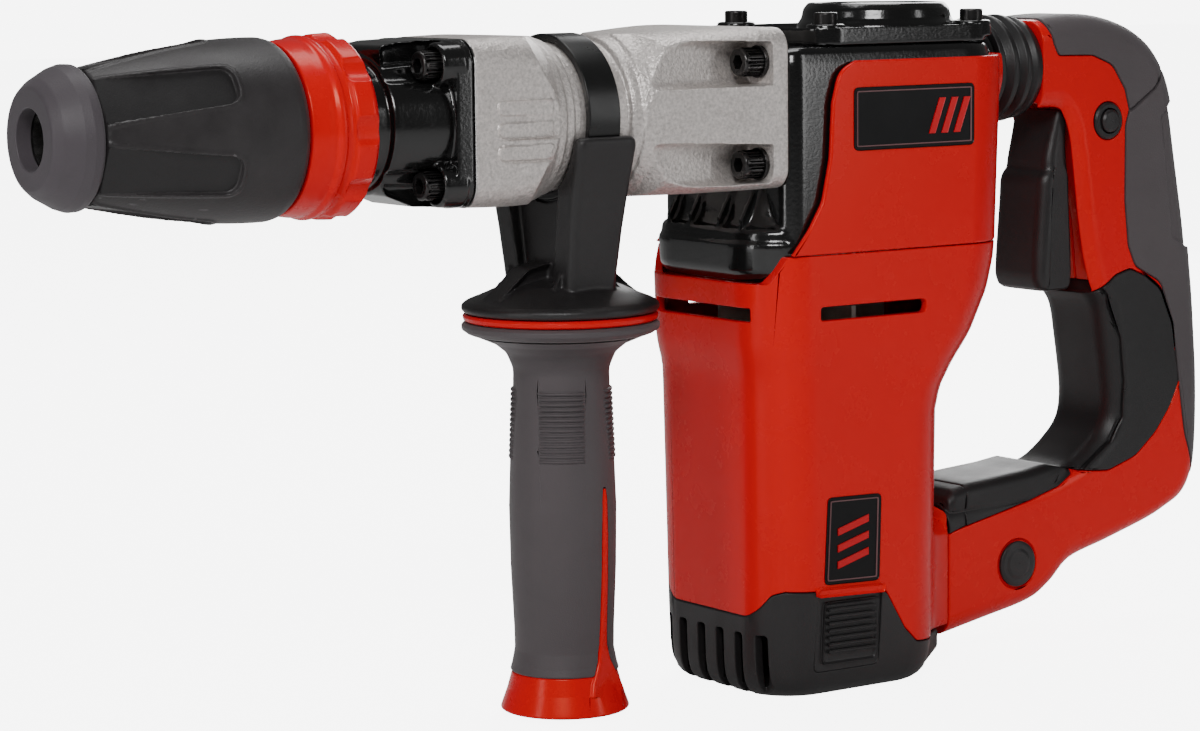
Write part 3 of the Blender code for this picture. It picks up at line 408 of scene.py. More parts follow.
def round_edges(obj, width, segments, angle):
    """Bevel the sharp edges, then put back any point that the bevel threw off the surface."""
    before = bmesh.new()
    before.from_mesh(obj.data)
    surface_before = BVHTree.FromBMesh(before)
    before.free()
    bevel = obj.modifiers.new("Bevel", "BEVEL")
    bevel.width = width
    bevel.segments = segments
    bevel.limit_method = "ANGLE"
    bevel.angle_limit = math.radians(angle)
    bevel.use_clamp_overlap = False
    bevel.miter_outer = "MITER_ARC"
    for vertex in applied(obj).data.vertices:
        place, _, _, distance = surface_before.find_nearest(vertex.co)
        if distance > FARTHEST_THROW * width:
            vertex.co = place


def moulded(obj, voxel, passes, keep):
    """Turn a piece into one even skin with soft fillets. voxel is in millimetres, keep the share of faces left."""
    remesh = obj.modifiers.new("Skin", "REMESH")
    remesh.mode = "VOXEL"
    remesh.voxel_size = voxel * MM
    soften_skin = obj.modifiers.new("Fillet", "SMOOTH")
    soften_skin.factor = 0.5
    soften_skin.iterations = passes
    fewer = obj.modifiers.new("Fewer", "DECIMATE")
    fewer.ratio = keep
    return applied(obj)


def finished(obj, material, body, nodes=(), edge=0.0, segments=2, angle=32, weld=0.02, skin=None):
    """Round the piece's edges, give it its material and hang it on its body."""
    if skin:
        moulded(obj, *skin)
    mesh = obj.data
    if not skin:
        bm = bmesh.new()
        bm.from_mesh(mesh)
        bmesh.ops.remove_doubles(bm, verts=bm.verts, dist=weld * MM)
        bmesh.ops.dissolve_limit(bm, angle_limit=math.radians(FLAT_ANGLE), verts=bm.verts, edges=bm.edges,
                                 delimit=set())
        bmesh.ops.dissolve_degenerate(bm, edges=bm.edges, dist=weld * MM)
        bm.to_mesh(mesh)
        bm.free()
    mesh.materials.clear()
    mesh.materials.append(material)
    for polygon in mesh.polygons:
        polygon.material_index = 0
    if edge:
        round_edges(obj, edge * MM, segments, angle)
    mesh = obj.data
    mesh.shade_smooth()
    mesh.set_sharp_from_angle(angle=math.radians(SHARP_ANGLE))
    weighted = obj.modifiers.new("Weighted", "WEIGHTED_NORMAL")
    weighted.keep_sharp = True
    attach(obj, body)
    if nodes:
        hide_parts(*nodes)
    return obj


# ---------------------------------------------------------------- nose and tool holder

def dust_cap():
    cap = turned("nose_cap", [
        (-285.5, 9.3, 0.5), (-285.5, 15.6, 2.2), (-282.8, 18.0, 4.0), (-277.4, 21.0, 1.8), (-274.6, 21.9, 1.2),
        (-272.2, 21.8, 0.8), (-271.1, 20.9, 0.5), (-271.1, 20.1, 0.3), (-271.1, 15.3, 0.3), (-271.8, 15.3, 0.1),
        (-271.8, 12.4, 0.2), (-280.4, 12.4, 0.3), (-280.4, 9.3, 0.3)], fillet=0.5, steps=128)
    finished(cap, RUBBER_CAP, "tool_holder", ["dust_cap"])


def cone_radius(x):
    t = (x + 270.8) / 65.2
    return 20.9 + 7.3 * math.sin(min(1.0, t * 1.12) * math.pi / 2)


def cone_sleeve():
    outer = [(-270.5, 16.2, 0.3), (-270.5, 20.4, 0.5)]
    outer += [(-269.4, 21.05, 0.6)] + [(x, cone_radius(x), 4) for x in range(-266, -210, 4)]
    outer += [(-210.0, 28.15, 3), (-207.8, 27.6, 1.2), (-206.0, 26.2, 0.8), (-205.6, 24.0, 0.4)]
    inner = [(-205.6, 21.5, 0.3), (-219.0, 21.5, 0.3), (-219.0, 15.6, 0.3), (-225.6, 15.6, 0.2), (-244.4, 20.2, 0.3),
             (-250.0, 20.2, 0.3), (-255.0, 15.4, 0.3), (-270.5, 15.4, 0.2)]
    cone = turned("sleeve_cone", outer + inner, fillet=0.5, steps=144)
    proud = turned("proud", [(-270.4, 10), (-270.4, 20.9)] + [(x, cone_radius(x) + 0.45) for x in range(-268, -214, 4)]
                   + [(-214, 10)], steps=144)
    for i in range(6):
        angle = math.radians(60 * i + 56)
        lip = pocket_block("lip", 1.0, (16.8, 25.0), (40, 40))
        lip = meet(turn_about(lip, angle, (0, 0, AXIS_Z)), twin(proud))
        pocket = pocket_block("pocket", 0.0, (19.0, 25.9), (40, 40))
        insert = pocket_block(f"pocket_insert_{i + 1}", -0.15, (18.0, 25.0), (19.1, 26.0))
        cut(join(cone, lip), turn_about(pocket, angle, (0, 0, AXIS_Z)))
        cut(turn_about(insert, angle, (0, 0, AXIS_Z)), drill(-280, -270.2, 40))
        finished(insert, GRIP_BLACK, "lock_sleeve")
    bpy.data.objects.remove(proud, do_unlink=True)
    finished(cone, RUBBER_DARK, "lock_sleeve", ["cone_sleeve"], skin=(0.38, 5, 0.4))


def pocket_block(name, grow, low, high):
    """A tapered block over one of the cone's pockets, between two radii given at its front and its rear end."""
    front, rear = -276.0, -228.6 + grow
    line = soften([(-8.0 - grow, front), (8.0 + grow, front), (6.3 + grow, rear, 5.0), (-6.3 - grow, rear, 5.0)], 0, 8)
    points = []
    for near, far in (low, high):
        points += [(v, u, AXIS_Z + near + (far - near) * (v - front) / (rear - front)) for u, v in line]
    count = len(line)
    faces = [(k, (k + 1) % count, count + (k + 1) % count, count + k) for k in range(count)]
    return solid(name, points, faces + [tuple(range(count)), tuple(count + k for k in range(count))])


def red_ring():
    band = turned("sleeve_ring", [
        (-205.3, 21.5), (-205.3, 26.6, 0.6), (-200.0, 27.4, 3), (-197.2, 27.5, 0.6), (-196.0, 28.4, 0.8),
        (-194.4, 28.4, 0.8), (-193.4, 27.2, 0.5), (-191.2, 26.9, 0.6), (-190.2, 28.6, 0.9), (-184.2, 28.9, 1.2),
        (-182.5, 27.4, 0.8), (-182.5, 21.5)], fillet=0.4, steps=144)
    for i in range(9):
        angle = 2 * math.pi * (i + 0.5) / 9
        centre = (35.2 * math.cos(angle), AXIS_Z + 35.2 * math.sin(angle))
        cut(band, turned("scallop", [(-192.0, 0), (-190.6, 8.2), (-178, 8.2), (-178, 0)], centre=centre, steps=40))
    finished(band, RED, "lock_sleeve", ["red_ring"], skin=(0.3, 7, 0.4))


def front_flange():
    """Tube, flange and the bolt pockets between two ribs."""
    plate = slab("flange_casting", [(y, z + AXIS_Z) for y, z in rounded_rectangle(-25.6, 25.6, -26.0, 26.2, 8, 12)],
                 -154.0, -147.4, "X", 1.3)
    tube = turned("tube", [(-193, 15.4), (-193, 19.0, 0.5), (-192.4, 19.5, 0.5), (-150, 19.5), (-150, 15.4)],
                  fillet=0.3)
    top = slab("top_rib", soften([(-173, 17), (-173.5, 24.6, 2.0), (-166, 25.9, 2), (-150, 26.3), (-150, 17)], 0),
               -12.6, 12.6, "Y", 1.2)
    bottom = slab("bottom_rib", soften([(-174, -17), (-150, -17), (-150, -26.0), (-162, -25.4, 4),
                                        (-172, -21.5, 2)], 0), -12.6, 12.6, "Y", 1.2)
    for rib in (top, bottom):
        rib.data.transform(Matrix.Translation((0, 0, AXIS_Z * MM)))
    collar = turned("collar", [(-173.9, 15.6), (-173.9, 21.4, 0.6), (-172.9, 22.0, 0.6), (-160, 22.6), (-150, 23.2),
                               (-150, 15.6)], fillet=0.3)
    seats = [turned("bolt_boss", [(-158.2, 0), (-158.2, 6.2, 0.5), (-157.6, 6.9, 0.5), (-150, 7.2), (-150, 0)],
                    centre=centre, steps=48, fillet=0.2) for centre in FLANGE_BOLTS]
    cut(plate, drill(-160, -140, 18.0))
    join(plate, top, bottom, collar, *seats, tube)
    for centre in FLANGE_BOLTS:
        cut(plate, drill(-180, -154.5, 5.5, centre=centre, steps=48))
    finished(plate, BLACK_GLOSS, "housing", ["front_flange"], skin=(0.38, 7, 0.5))
    gasket = slab("front_gasket", [(y, z + AXIS_Z) for y, z in rounded_rectangle(-25.9, 25.9, -26.2, 26.3, 8, 12)],
                  -147.35, -146.9, "X")
    cut(gasket, drill(-160, -140, 20.0))
    finished(gasket, STEEL, "housing")


def hexagon(u, v, radius):
    return [(u + radius * math.cos(math.pi * k / 3), v + radius * math.sin(math.pi * k / 3)) for k in range(6)]


def socket_head(name, material, body, nodes, x_seat, length, y, z, radius):
    """A hexagon socket head with a knurled rim and a spring washer behind it."""
    front = x_seat - length
    head = turned(name, [(x_seat, 0), (x_seat, radius, 0.2), (front, radius, 0.9), (front, 0)], centre=(y, z), steps=60,
                  fillet=0.2)
    socket = hexagon(y, z, 2.55)
    cut(head, loft("socket", [(front - 2, socket), (front + length * 0.55, socket)], "X"))
    for k in range(20):
        a = 2 * math.pi * k / 20
        notch = (y + (radius + 0.35) * math.cos(a), z + (radius + 0.35) * math.sin(a))
        cut(head, turned("knurl", [(front + 1.6, 0), (front + 1.9, 0.62), (x_seat - 1.4, 0.62), (x_seat - 1.1, 0)],
                         centre=notch, steps=8))
    finished(head, material, body, nodes, edge=0.18, segments=2, angle=38)
    washer = turned(name + "_washer", [(x_seat - 1.4, radius - 1.2), (x_seat - 1.4, radius + 0.7, 0.3),
                                       (x_seat + 0.1, radius + 0.7, 0.3), (x_seat + 0.1, radius - 1.2)],
                    centre=(y, z), steps=60, fillet=0.2)
    finished(washer, material, body)


def bolts():
    for i, (side_y, side_z) in enumerate(((-1, 1), (-1, -1), (1, 1), (1, -1)), 1):
        socket_head(f"front_socket_head_{i}", BOLT, "housing", [f"flange_bolt_{i}"], -154.3, 9.5, side_y * 18.8,
                    AXIS_Z + side_z * 18.6, 4.4)
        z = 212.0 if side_z > 0 else 178.8
        socket_head(f"rear_socket_head_{i}", BOLT, "housing", [f"barrel_bolt_{i}"], -39.3, 9.0, side_y * 28.8, z, 4.6)


# ---------------------------------------------------------------- barrel

def barrel():
    def box_rows(rows, steps=6):
        return [(x, rounded_rectangle(-half, half, low, high, r, 12, 4))
                for x, half, low, high, r in rows_between(rows, steps)]

    front = loft("barrel_casting", box_rows([
        (-146.9, 26.3, 169.3, 221.9, 9), (-140, 26.9, 169.1, 222.1, 9.5), (-132, 27.3, 169.0, 222.3, 10),
        (-122, 27.5, 169.2, 222.0, 11), (-108, 27.6, 169.4, 221.6, 12)]), "X")
    shoulder = turned("shoulder", [
        (-160, 0), (-160, 40), (-132, 40), (-126.5, 34.6), (-121.5, 30.6), (-117.6, 28.3), (-117.0, 27.6),
        (-113.8, 27.0), (-112.9, 25.7), (-109.7, 25.6), (-109.4, 25.0), (-109.4, 0)])
    meet(front, shoulder)
    neck = turned("neck", [(-113, 0), (-113, 25.6), (-109.8, 25.6), (-109.4, 24.0), (-88.0, 24.0), (-87.6, 25.6),
                           (-82, 25.8), (-82, 0)], fillet=0.2)
    rear = loft("rear_block", box_rows([
        (-88.0, 27.4, 169.4, 221.6, 20), (-82.0, 27.9, 169.2, 221.8, 18), (-70.0, 29.8, 169.4, 222.3, 14),
        (-58.0, 32.6, 169.8, 222.8, 11), (-46.0, 35.6, 170.3, 223.1, 8.5), (-38.0, 36.4, 170.6, 223.1, 7.5),
        (-33.3, 36.4, 170.7, 223.0, 7)]), "X")
    meet(rear, turned("rear_shoulder", [
        (-87.7, 0), (-87.7, 25.4), (-86.2, 26.2), (-84.2, 26.5), (-83.6, 27.5), (-80.0, 29.0), (-75.0, 32.6),
        (-70, 37.5), (-64, 45), (-50, 52), (-20, 52), (-20, 0)]))
    channels = []
    for side in (-1, 1):
        for low, high, z0, z1 in ((204.6, 218.6, 203.8, 219.6), (172.9, 185.4, 171.8, 187.0)):
            rows = []
            for k in range(9):
                t = k / 8
                x = -80.5 + 41.3 * t
                near, far = span(side, 26.4 - 4.6 * t ** 0.8, 46)
                a, b = z0 + (low - z0) * t, z1 + (high - z1) * t
                rows.append((x, rounded_rectangle(near, far, a, b, min(3.2, (b - a) * 0.42), 8)))
            channels.append(loft("channel", rows, "X"))
    cut(rear, *channels)
    join(front, neck, rear)
    cut(front, drill(-160, -20, 19.0, steps=64))
    for side in (-1, 1):
        for low, high in ((198.1, 202.5), (191.1, 195.5), (184.0, 188.3)):
            outline = soften([(-139.6, low, 2.1), (-112, low), (-112, high), (-139.6, high, 2.1)], 0, 6)
            trench = cut(slab("trench", grown(outline, 0.85), *span(side, 26.6, 30), "Y"),
                         slab("inside", outline, *span(side, 24, 32), "Y"))
            cut(front, trench)
            bar = slab("bar", outline, *span(side, 20, 28.2), "Y", 0.4, 3)
            meet(bar, turned("bar_limit", [(-160, 0), (-160, 40), (-131.4, 40), (-126.1, 34.4), (-121.6, 30.2),
                                           (-119.6, 28.9), (-119.6, 0)]))
            join(front, bar)
    finished(front, SILVER, "housing", ["barrel_housing"], skin=(0.42, 3, 0.35))


# ---------------------------------------------------------------- motor housing

# Height, front, rear and half width of the motor housing.
MOTOR_ROWS = [
    (3.0, -38.6, 36.4, 35.4), (12.0, -39.2, 37.4, 36.0), (24.5, -39.5, 38.0, 36.4), (60.0, -40.2, 38.2, 36.8),
    (92.0, -40.6, 38.6, 37.1), (100.0, -40.7, 40.6, 37.2), (107.0, -40.9, 45.4, 37.3), (110.0, -41.3, 47.6, 37.5),
    (114.0, -42.1, 50.8, 37.9), (118.0, -42.7, 53.8, 38.25), (132.0, -43.0, 61.6, 38.4), (142.0, -43.3, 64.6, 38.5),
    (SEAM_Z, -43.5, 65.2, HALF_WIDTH)]
MOTOR_CORNER = 19       # radius of the housing's corners
REAR_CORNER_GAIN = 3    # the rear corners are rounder by this much at the top
WALL = 3.0
SLOT_LOW, SLOT_HIGH = 126.6, 131.2


def motor_row(z):
    z = min(max(z, MOTOR_ROWS[0][0]), MOTOR_ROWS[-1][0])
    for low, high in zip(MOTOR_ROWS, MOTOR_ROWS[1:]):
        if low[0] <= z <= high[0]:
            t = (z - low[0]) / (high[0] - low[0])
            return [a + (b - a) * t for a, b in zip(low[1:], high[1:])]


def motor_sections(grow, z_low, z_high, corner=14, side=3):
    levels = [z_low] + [z for z in range(int(z_low) + 3, int(z_high) - 1, 3)] + [z_high]
    made = []
    for z in levels:
        front, rear, half = motor_row(z)
        near = MOTOR_CORNER + grow
        back = near + REAR_CORNER_GAIN * min(max((z - 100) / 40, 0), 1)
        made.append((z, rounded_rectangle(front - grow, rear + grow, -half - grow, half + grow,
                                          [back, near, near, back], corner, side)))
    return made


BASE_LINE = soften([(-60, 25.5), (-42, 25.5), (-39.3, 27.5, 2), (-35.6, 35.5, 3), (-32.5, 36.6, 2), (4.2, 35.0, 2),
                    (8.0, 32.5, 3), (16.0, 19.5, 5), (21.5, 14.2, 3), (38.0, 12.5, 2), (56.0, 13.5)], 0, 6, False)


def motor_shell():
    shell = loft("motor_shell", motor_sections(0, 8.0, SEAM_Z))
    foot_rows = [(28.0, 27.0, 7.5, 55.0, 9), (34.0, 26.4, 7.6, 53.5, 9), (37.5, 24.2, 7.8, 56.8, 9),
                 (40.0, 21.8, 8.0, 54.2, 8.5), (43.5, 19.6, 8.2, 52.4, 8), (47.0, 18.3, 8.4, 52.0, 7.5),
                 (FOOT_X - 0.9, 17.4, 8.6, 51.6, 7)]
    foot = loft("foot", [(x, rounded_rectangle(-half, half, low, high, r, 10, 3))
                         for x, half, low, high, r in rows_between(foot_rows, 4)], "X")
    line = soften([(30, 66), (39.2, 66, 3), (41.2, 57.5, 9), (50.6, 52.6, 4), (50.6, 40), (30, 40)], 0, 8)
    web = slab("foot_web", line, -17.4, 17.4, "Y", 5.0)
    tongue = slab("tongue", soften([(38, 22), (83.5, 22, 3), (91, 26, 3), (91, 36, 3), (83.5, 40, 3), (38, 44)], 0),
                  -6.5, 6.5, "Y", 1)
    join(shell, foot, web)
    cut(shell, loft("room", motor_sections(-WALL, 2.0, SEAM_Z, 6, 1)[:-1] + [
        (SEAM_Z + 3, rounded_rectangle(-40.5, 62.2, -35.6, 35.6, 19, 6, 1))]))
    join(shell, tongue)
    collar = soften([(-60, 220), (-60, COLLAR_Z), (-38.4, COLLAR_Z, 1.5), (-36.8, 142.0, 3), (-32.9, SEAM_Z + 1.5, 1),
                     (-32.9, 220)], 0, 6)
    cut(shell, slab("collar_cut", collar, -60, 60))
    cut(shell, slab("base_gap", BASE_LINE + [(56, -5), (-60, -5)], -60, 60))
    cut(shell, drill(-20, 20, 4.3, "Y", PIVOT, 48))
    for side in (-1, 1):
        slot = soften([(-21.5, SLOT_LOW, 1.2), (23.5, SLOT_LOW, 2.2), (23.5, SLOT_HIGH, 2.2), (-21.5, SLOT_HIGH, 1.2)],
                      0, 5)
        cut(shell, slab("side_slot", slot, *span(side, 30, 45)))
    cut(shell, block("front_slot", (-50, -26, SLOT_LOW), (-36, 26, SLOT_HIGH)))
    finished(shell, RED, "housing", ["motor_housing"], edge=0.45, segments=3, angle=34, weld=0.1)
    for side, label in ((-1, "left"), (1, "right")):
        line = soften([(-22.6, 34.3), (5.6, 33.2), (6.2, 36.2, 1.2), (-22.2, 37.2, 1.2)], 0.8, 5)
        ridge = slab(f"ridge_{label}", line, *span(side, 35.6, 38.2), "Y", 0.7, 4)
        finished(ridge, RED, "housing")


def base_tray():
    """Black tray under the motor with front vents and a ribbed pad on each flank."""
    sections = []
    for z, inset in ((0.0, 4.6), (0.5, 3.6), (1.6, 2.2), (3.2, 1.0), (5.5, 0.3), (8.0, 0.0)):
        front, rear, half = motor_row(max(z, 3.0))
        sections.append((z, rounded_rectangle(front + inset, rear - inset, -half + inset, half - inset,
                                              MOTOR_CORNER - inset * 0.6, 14, 3)))
    tray = loft("base_tray", sections + motor_sections(0, 12.0, 37.2))
    heel = loft("heel", [(x, rounded_rectangle(-half, half, low, 13.5, 2.4, 6, 1)) for x, half, low in
                         ((28, 27, 1.6), (36, 24, 2.4), (40, 21.5, 3.4), (44, 19.2, 4.6), (47.5, 18.0, 6.4))], "X")
    join(tray, heel)
    cut(tray, loft("room", motor_sections(-WALL, 3.4, 60, 6, 1)))
    line = [(x, z - GAP) for x, z in BASE_LINE]
    cut(tray, slab("above", line + [(56, 60), (-60, 60)], -60, 60))
    for y in (-25.5, -15.6, -5.2, 5.2, 15.6, 25.5):
        slot = rounded_rectangle(y - 2.1, y + 2.1, -4.0, 21.4, 1.2, 5)
        cut(tray, loft("vent", [(-60, slot), (-33.5, slot)], "X"))
    cut(tray, slab("heel_limit", [(45.2, -5), (45.2, 30), (60, 30), (60, -5)], -30, 30))
    for side in (-1, 1):
        frame_line = soften([(-23.0, 8.6, 2.4), (4.6, 8.4, 2.4), (6.4, 45, 0.5), (-20.8, 45, 0.5)], 0, 5)
        cut(tray, slab("pad_room", frame_line, *span(side, 35.35, 45)))
        pad = slab("pad", soften([(-19.8, 11.0, 1.8), (3.0, 10.6, 1.8), (4.6, 31.6, 1.5), (-18.6, 32.0, 1.5)], 0, 5),
                   *span(side, 33.5, 36.6), "Y", 0.9, 4)
        join(tray, pad)
        for i in range(7):
            z = 14.6 + 2.35 * i
            rib = soften([(-17.6, z, 0.6), (2.6, z - 0.4, 0.6), (2.8, z + 0.8, 0.6), (-17.4, z + 1.2, 0.6)], 0, 3)
            join(tray, slab("rib", rib, *span(side, 36.0, 37.25), "Y", 0.45, 3))
    join(tray, turned("bearing_seat", [(2.5, 11.3), (2.5, 14.0), (20, 14.0), (20, 11.3)], "Z", (0, 0), 48))
    finished(tray, PLASTIC_BLACK, "housing", ["base_cap"], edge=0.35, segments=3, angle=34, weld=0.03)


def cover_shell():
    def stack(grow, low, high, corner=14, side=3):
        rows = [(low, 65.3), (158, 65.7), (170, 66.2), (180, 66.6), (192, 67.0), (200, 67.2), (high, 67.2)]
        return [(z, rounded_rectangle(-60, rear + grow, -HALF_WIDTH - grow, HALF_WIDTH + grow, 22 + grow, corner, side))
                for z, rear in rows]

    low = SEAM_Z + GAP
    shell = loft("cover_shell", stack(0, low, 211.6))
    cut(shell, loft("cover_room", stack(-2.0, low - 2, 214, 6, 1)))
    front = soften([(-90, 140), (-33.0, 140), (-33.0, low + 0.4, 0.5), (-26.2, 157.0, 10), (-20.6, 165.8, 12),
                    (-17.4, 180, 25), (-16.4, 198, 10), (-13.4, 208.5, 9), (-3.0, 213.4, 3), (-3, 216), (-90, 216)],
                   0, 8)
    cut(shell, slab("front_opening", front, -60, 60))
    funnel = turned("funnel", [(65.5, 17.3), (65.5, 25.4), (67.6, 23.2, 3), (70.4, 20.6, 4), (73.7, 19.5, 0.5),
                               (73.7, 17.3)], centre=BELLOWS, fillet=0.2)
    join(shell, cut(funnel, slab("above", [(50, 211.5), (90, 211.5), (90, 240), (50, 240)], -60, 60)))
    cut(shell, drill(55, 90, 17.3, centre=BELLOWS, steps=72))
    finished(shell, RED, "housing", ["upper_cover"], edge=0.75, segments=3, angle=34)


def badge(where, side, label, outer, face, lean, stripes):
    """A plain plate on one flank, with a line round its rim and slanted stripes, and no lettering.

    face is how far out the flank is at the plate's lower edge, and lean the flank's slope there.
    """
    name = f"{where}_plate"
    pieces = [(slab(f"{name}_{label}", outer, *span(side, (face - 1.2), (face + 0.3)), "Y", 0.25, 3), LABEL,
               "base_cap")]
    line = grown(outer, -1.2)
    rim = cut(slab(f"{name}_rim_{label}", line, *span(side, face, (face + 0.42)), "Y", 0.1, 2),
              slab("inside", grown(line, -0.4), *span(side, 30, 45)))
    pieces.append((rim, LABEL_LINE, "base_cap"))
    for i, stripe in enumerate(stripes, 1):
        pieces.append((slab(f"{name}_stripe_{label}_{i}", stripe, *span(side, face, (face + 0.45)), "Y", 0.1, 2),
                       LABEL_RED, "red_ring"))
    for piece, material, slot in pieces:
        turn_about(piece, -side * lean, (0, side * face, outer[0][1]))
        finished(piece, material, "housing")


def badges():
    upper = soften([(-8.0, 182.0), (43.8, 182.0), (43.8, 202.8), (-8.0, 202.8)], 2.0, 4)
    upper_stripes = [[(x, 186.5), (x + 2.6, 186.5), (x + 7.2, 198.3), (x + 4.6, 198.3)] for x in (24.0, 29.4, 34.8)]
    lower = soften([(-19.2, 38.0), (4.3, 37.2), (4.9, 66.8), (-17.9, 67.4)], 2.0, 4)
    lower_stripes = [[(-13.6, z), (-0.6, z + 3.6), (-0.6, z + 6.0), (-13.6, z + 2.4)] for z in (43.0, 48.6, 54.2)]
    lean = math.atan2(36.8 - 36.4, 60.0 - 24.5)
    for side, label in ((-1, "left"), (1, "right")):
        badge("upper", side, label, upper, HALF_WIDTH, 0.0, upper_stripes)
        badge("lower", side, label, lower, 36.4 + (38.0 - 24.5) * math.tan(lean), lean, lower_stripes)


# ---------------------------------------------------------------- crankcase

def crankcase():
    case = loft("crankcase_casting", [
        (z, rounded_rectangle(front, rear, -half, half, [back, 6, 6, back], 10, 3)) for z, front, rear, half, back in (
            (SEAM_Z + 0.4, -32.9, 62.7, 35.8, 20), (176, -32.9, 63.3, 35.8, 20), (206, -32.9, 64.2, 35.8, 20),
            (211, -32.8, 64.2, 35.6, 20), (214.4, -32.2, 63.9, 34.9, 20), (216, -30.8, 63.0, 33.6, 19))])
    bowl_rows = [(COLLAR_Z + 0.5, -40.8, 34.6, 19), (143, -42.9, 35.9, 20), (151.5, -43.2, 36.2, 20),
                 (152.2, -43.2, 36.2, 20), (152.9, -42.2, 35.4, 19), (155.8, -42.0, 35.2, 19), (157.0, -41.0, 34.4, 18),
                 (157.6, -39.4, 33.2, 17), (160.5, -37.4, 31.4, 15), (170, -34.5, 29.0, 13)]
    bowl = loft("bowl", [(z, rounded_rectangle(front, 52, -half, half, r, 12, 3)) for z, front, half, r in bowl_rows])
    neck = turned("bellows_neck", [(60, 0), (60, 15.0), (70, 15.0, 0.5), (70.6, 17.0, 0.5), (73.2, 17.0, 0.5),
                                   (74.0, 15.4, 0.4), (74, 0)], centre=BELLOWS, fillet=0.3, steps=72)
    join(case, bowl, neck)
    ribs = []
    for y in (-20, -8, 8, 20):
        ribs.append(slab("rib", soften([(-41.5, 150), (-41.0, 160, 2), (-34.0, 172, 3), (-30, 172), (-30, 150)], 0, 5),
                         y - 1.5, y + 1.5, "Y", 0.9, 3))
    join(case, *ribs)
    room = rounded_rectangle(-13, 61.5, -31.5, 31.5, [24, 8, 8, 24], 10)
    cut(case, loft("gear_room", [(163.5, room), (220, room)]),
        drill(-60, 0, 19.3, steps=64),
        drill(130, 170, 6.5, "Z", (0, 0), 48),
        drill(130, 152.6, 16.3, "Z", (0, 0), 64),
        drill(151.7, 170, 14.3, "Z", (CRANK_X, 0), 64),
        drill(67, 80, 11.9, centre=BELLOWS, steps=48))
    finished(case, BLACK_GLOSS, "housing", ["crankcase"], skin=(0.6, 8, 0.5))


def lid():
    plate = slab("crankcase_lid", rounded_rectangle(-18, 62.4, -33, 33, [15, 10, 10, 15], 12), 216.3, 222.6, "Z",
                 2.4)
    boss = turned("boss", [(219, 0), (219, 27.4, 1), (222.2, 27.2, 2.4), (224.2, 25.7, 1.2), (227.6, 24.9, 1.4),
                           (229.6, 23.2, 1.0), (229.6, 20.9, 0.8), (228.5, 20.2, 0.5), (228.5, 0)], "Z", (CRANK_X, 0),
                  128, fillet=0.4)
    join(plate, boss)
    for x, y in LID_SCREWS:
        join(plate, turned("screw_pad", [(218, 0), (218, 7.0), (223.4, 6.4, 0.6), (223.4, 0)], "Z", (x, y), 40,
                           fillet=0.3))
    for r in (15.4, 9.6):
        join(plate, turned("ring", [(228.0, r - 0.9), (229.1, r - 0.6, 0.4), (229.1, r + 0.6, 0.4), (228.0, r + 0.9)],
                           "Z", (CRANK_X, 0), 96, fillet=0.2))
    join(plate, turned("centre", [(228.0, 0), (228.0, 4.4), (229.2, 3.8, 0.5), (229.2, 0)], "Z", (CRANK_X, 0), 64,
                       fillet=0.3))
    finished(plate, BLACK_GLOSS, "housing", ["top_cap"], skin=(0.42, 6, 0.5))
    for i, (x, y) in enumerate(LID_SCREWS, 1):
        screw = turned(f"lid_screw_{i}", [(223.2, 0), (223.2, 3.9, 0.3), (227.2, 3.9, 0.7), (227.2, 0)], "Z", (x, y),
                       48, fillet=0.3)
        socket = hexagon(x, y, 2.0)
        cut(screw, loft("socket", [(225.0, socket), (229, socket)]))
        finished(screw, BOLT, "housing", edge=0.15, segments=2, angle=38)


# ---------------------------------------------------------------- side handle

def side_handle():
    strap = turned("strap", [(NECK_X - 6, 24.4), (NECK_X - 6, 26.7, 0.5), (NECK_X + 6, 26.7, 0.5), (NECK_X + 6, 24.4)],
                   steps=128, fillet=0.25)
    stirrup = block("stirrup", (NECK_X - 5, -8, 152), (NECK_X + 5, 8, 170.2), 0.8)
    join(strap, stirrup)
    cut(strap, block("window", (NECK_X - 9, -6, 155.5), (NECK_X + 9, 6, 167.8), 0.8),
        drill(145, 158, 4.4, "Z", (NECK_X, 0), 40))
    finished(strap, STRAP, "side_clamp", ["clamp_band"], edge=0.3, segments=2, angle=35)
    saddle()
    grip()


